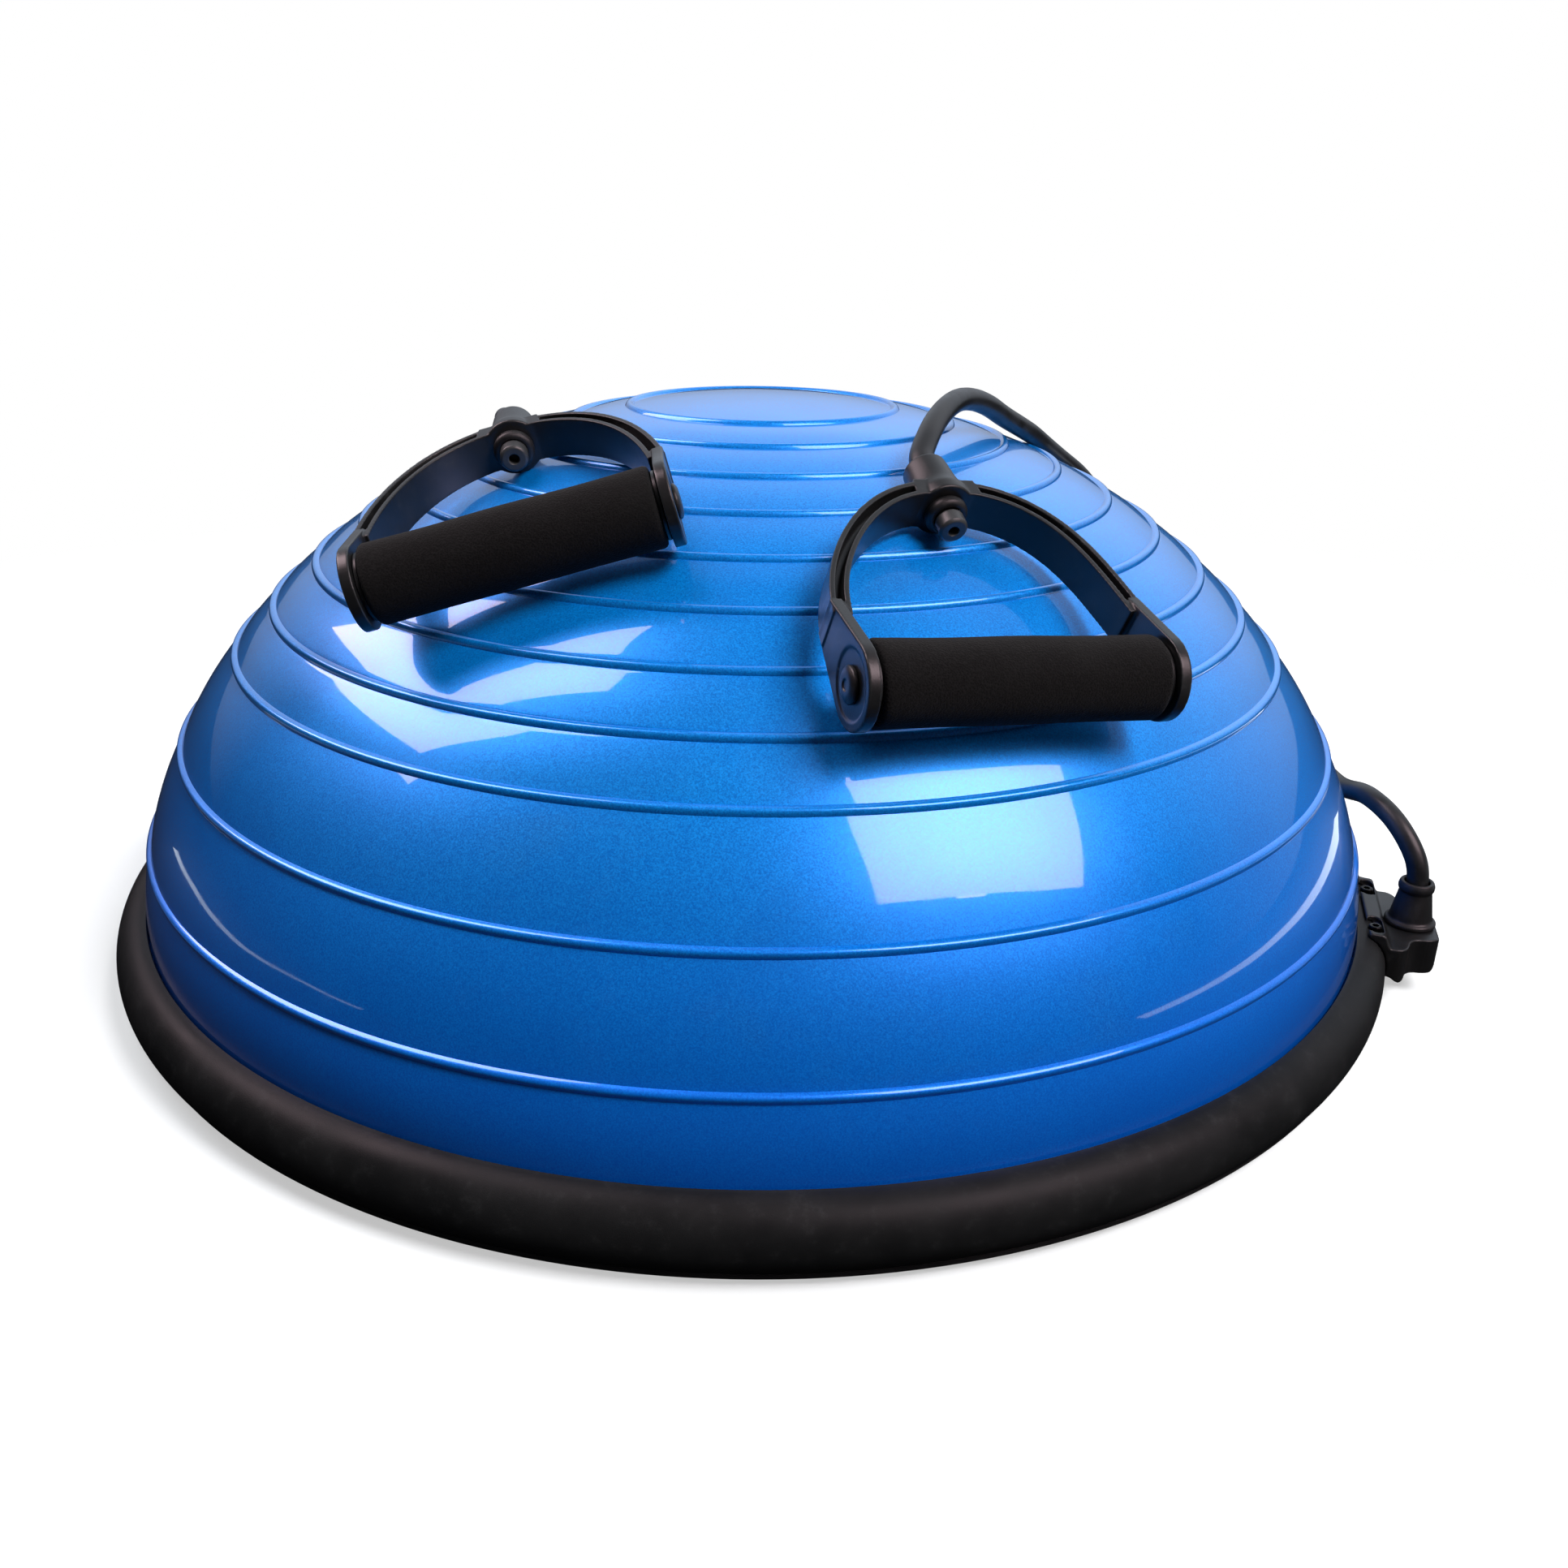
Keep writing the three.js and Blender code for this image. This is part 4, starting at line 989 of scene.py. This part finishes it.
for side in SIDES:
    route = tube_route(side)
    tip = np.array(PLACES[side] @ Vector((LEAN[side], BOSS_OUTER, 0)))
    gaps = np.linalg.norm(route - tip, axis=1)
    start_at = int(np.argmin(gaps))
    run = run_lengths(route[start_at:])
    bend_at = start_at + int(np.searchsorted(run, BEND_LENGTH[side]))
    seam = start_at + int(np.searchsorted(run, SEAM_BACK))
    node = f"resistance_tube_{side}"
    add(f"tube_by_handle_{side}", tube(route[:seam + 1]), node, LOOKS["tube"], sharp=60,
        blend=(f"tube_{side}", f"handle_{side}", route[bend_at] / 1000, tip / 1000))
    stay_point = (0, 0, STAY_Z / 1000)
    rise_point = (0, 0, (route[seam, 2] - SEAM_DROP) / 1000)
    add(f"tube_on_dome_{side}", tube(route[seam:]), node, LOOKS["tube"], sharp=60,
        blend=("base", f"tube_{side}", stay_point, rise_point))

# ---- The stage ----


def quad_object(name, corners, material):
    mesh = bpy.data.meshes.new(name)
    mesh.from_pydata([tuple(c) for c in corners], [], [tuple(range(len(corners)))])
    mesh.materials.append(material)
    obj = bpy.data.objects.new(name, mesh)
    bpy.context.scene.collection.objects.link(obj)
    return obj


UNDER_RADIUS = 0.27  # of the floor's glow under the object
FLOOR_HALF = 30.0


def floor_material():
    """Pale to the camera and fading to white, dark in reflections, not there from below, and
    glowing under the object to show its underside."""
    material, tree = shader("pale_floor")
    path = put(tree, "ShaderNodeLightPath")
    where = put(tree, "ShaderNodeTexCoord").outputs["Object"]
    away = put(tree, "ShaderNodeVectorMath", {0: where}, operation="LENGTH").outputs["Value"]
    matt = put(tree, "ShaderNodeBsdfDiffuse", {"Color": rgba(0.5, 0.5, 0.51)})
    lift = put(tree, "ShaderNodeEmission", {"Color": rgba(1, 1, 1), "Strength": 0.5})
    white = put(tree, "ShaderNodeEmission", {"Color": rgba(1, 1, 1), "Strength": 1.0})
    dark = put(tree, "ShaderNodeBsdfDiffuse", {"Color": rgba(0.012, 0.0125, 0.014)})
    under = put(tree, "ShaderNodeEmission", {"Color": rgba(1, 1, 1), "Strength": 0.8})
    beneath = remap(tree, away, UNDER_RADIUS, UNDER_RADIUS + 0.005, 1.0, 0.0)
    unseen = put(tree, "ShaderNodeMixShader", {0: beneath, 1: dark.outputs[0], 2: under.outputs[0]})
    clear = put(tree, "ShaderNodeBsdfTransparent")
    back = put(tree, "ShaderNodeNewGeometry").outputs["Backfacing"]
    pale = put(tree, "ShaderNodeAddShader", {0: matt.outputs[0], 1: lift.outputs[0]})
    fade = remap(tree, away, 0.42, 1.0, 0.0, 1.0)
    shown = put(tree, "ShaderNodeMixShader", {0: fade, 1: pale.outputs[0], 2: white.outputs[0]})
    top = put(tree, "ShaderNodeMixShader", {0: path.outputs["Is Camera Ray"], 1: unseen.outputs[0],
                                            2: shown.outputs[0]})
    seen = put(tree, "ShaderNodeMixShader", {0: back, 1: top.outputs[0], 2: clear.outputs[0]})
    put(tree, "ShaderNodeOutputMaterial", {"Surface": seen.outputs[0]})
    return material


def glow_material(name, colour, strength):
    material, tree = shader(name)
    glow = put(tree, "ShaderNodeEmission", {"Color": colour, "Strength": strength})
    put(tree, "ShaderNodeOutputMaterial", {"Surface": glow.outputs[0]})
    return material


def reflector(name, corners, material):
    """A glowing panel that is seen only in the dome's skin and other shiny pieces."""
    panel = quad_object(name, corners, material)
    panel.visible_camera = False
    panel.visible_diffuse = False
    panel.visible_shadow = False
    panel.visible_transmission = False


def area_light(name, place, target, size, power, colour=(1, 1, 1)):
    data = bpy.data.lights.new(name, "AREA")
    data.shape, data.size, data.energy, data.color = "DISK", size, power, colour
    lamp = bpy.data.objects.new(name, data)
    bpy.context.scene.collection.objects.link(lamp)
    lamp.location = place
    lamp.rotation_euler = (Vector(target) - Vector(place)).to_track_quat("-Z", "Y").to_euler()
    lamp.visible_glossy = False


def world():
    """White to the camera, a soft grey room to everything else, brighter behind and above."""
    scene_world = bpy.data.worlds.new("studio")
    bpy.context.scene.world = scene_world
    scene_world.use_nodes = True
    tree = scene_world.node_tree
    tree.nodes.clear()
    path = put(tree, "ShaderNodeLightPath")
    ray = put(tree, "ShaderNodeTexCoord").outputs["Generated"]
    split = put(tree, "ShaderNodeSeparateXYZ", {0: ray})
    back = remap(tree, split.outputs["Y"], 0.15, 0.9, 0.02, 1.1)
    up = remap(tree, split.outputs["Z"], -0.05, 0.45, 0.3, 1.0)
    room = put(tree, "ShaderNodeMath", {0: back, 1: up}, operation="MULTIPLY").outputs[0]
    soft = put(tree, "ShaderNodeBackground", {"Color": rgba(0.93, 0.95, 1.0), "Strength": 0.14})
    mirror = put(tree, "ShaderNodeBackground", {"Color": rgba(0.8, 0.88, 1.0), "Strength": room})
    white = put(tree, "ShaderNodeBackground", {"Color": rgba(1, 1, 1), "Strength": 1.0})
    lit = put(tree, "ShaderNodeMixShader", {0: path.outputs["Is Glossy Ray"], 1: soft.outputs[0],
                                            2: mirror.outputs[0]})
    seen = put(tree, "ShaderNodeMixShader", {0: path.outputs["Is Camera Ray"], 1: lit.outputs[0],
                                             2: white.outputs[0]})
    put(tree, "ShaderNodeOutputWorld", {"Surface": seen.outputs[0]})


world()
floor_corners = [(x * FLOOR_HALF, y * FLOOR_HALF, 0) for x, y in ((-1, -1), (1, -1), (1, 1), (-1, 1))]
quad_object("floor", floor_corners, floor_material())
WINDOWS = {
    "window_right": [(0.87, -1.05, 2.67), (2.15, 0.1, 2.1), (2.65, -0.62, 1.25),
                     (1.57, -1.92, 1.7)],
    "window_bar": [(1.6, -0.59, 2.42), (1.82, -0.37, 2.3), (2.18, -1.32, 1.5), (2.02, -1.5, 1.56)],
    "window_left": [(-2.6, 0.85, 1.25), (-0.75, 0.0, 2.9), (-0.9, -0.75, 2.75),
                    (-2.15, -1.07, 1.8)],
}
window = glow_material("window_light", rgba(1.08, 0.82, 0.88), 6.5)
bar = glow_material("window_bar", rgba(1.08, 0.85, 0.9), 10.0)
for name, corners in WINDOWS.items():
    reflector(name, corners, bar if name == "window_bar" else window)

# Bright strips of floor beside the object: each side's inner edge, its glow, and how many times
# further out its outer edge lies.
FLOOR_GLOW = {"left": (1.7, 1.12), "right": (2.6, 1.3)}
FLOOR_STRIPS = {
    "left": [(-0.6, -0.05), (-0.66, -0.14), (-0.66, -0.34), (-0.8, -0.62), (-0.85, -0.9)],
    "right": [(0.42, 0.32), (0.6, 0.25), (0.85, 0.1), (1.05, -0.1), (1.1, -0.3)],
}
for side, line in FLOOR_STRIPS.items():
    glow, spread = FLOOR_GLOW[side]
    strip = glow_material(f"floor_glow_{side}", rgba(0.85, 0.93, 1.0), glow)
    for index, (near, far) in enumerate(zip(line, line[1:])):
        corners = [(x * scale, y * scale, 0.001) for (x, y), scale in
                   ((near, 1.0), (far, 1.0), (far, spread), (near, spread))]
        reflector(f"strip_{side}_{index + 1}", corners, strip)

area_light("key", (1.5, -0.8, 2.15), (0, 0, 0.12), size=1.1, power=82)
area_light("fill", (-1.0, -0.2, 2.4), (0, 0, 0.12), size=1.3, power=24, colour=(0.9, 0.95, 1.0))
area_light("rear", (0.3, 2.0, 1.6), (0, 0, 0.15), size=1.5, power=40)

# ---- The camera ----

CAMERA_PLACE = (0.18706, -0.64386, 0.33156)
CAMERA_FORWARD, CAMERA_UP = (-0.24068, 0.89389, -0.37820), (-0.11697, 0.36010, 0.92555)
LENS, SENSOR = 32.609, 36.0

camera_data = bpy.data.cameras.new("camera")
camera_data.lens, camera_data.sensor_width = LENS, SENSOR
camera_data.clip_start, camera_data.clip_end = 0.01, 100.0
camera = bpy.data.objects.new("camera", camera_data)
bpy.context.scene.collection.objects.link(camera)
forward = Vector(CAMERA_FORWARD).normalized()
rightward = forward.cross(Vector(CAMERA_UP)).normalized()
upward = rightward.cross(forward)
view_turn = Matrix((rightward, upward, -forward)).transposed().to_4x4()
camera.matrix_world = Matrix.Translation(CAMERA_PLACE) @ view_turn
bpy.context.scene.camera = camera
bpy.context.scene.view_settings.view_transform = "Standard"
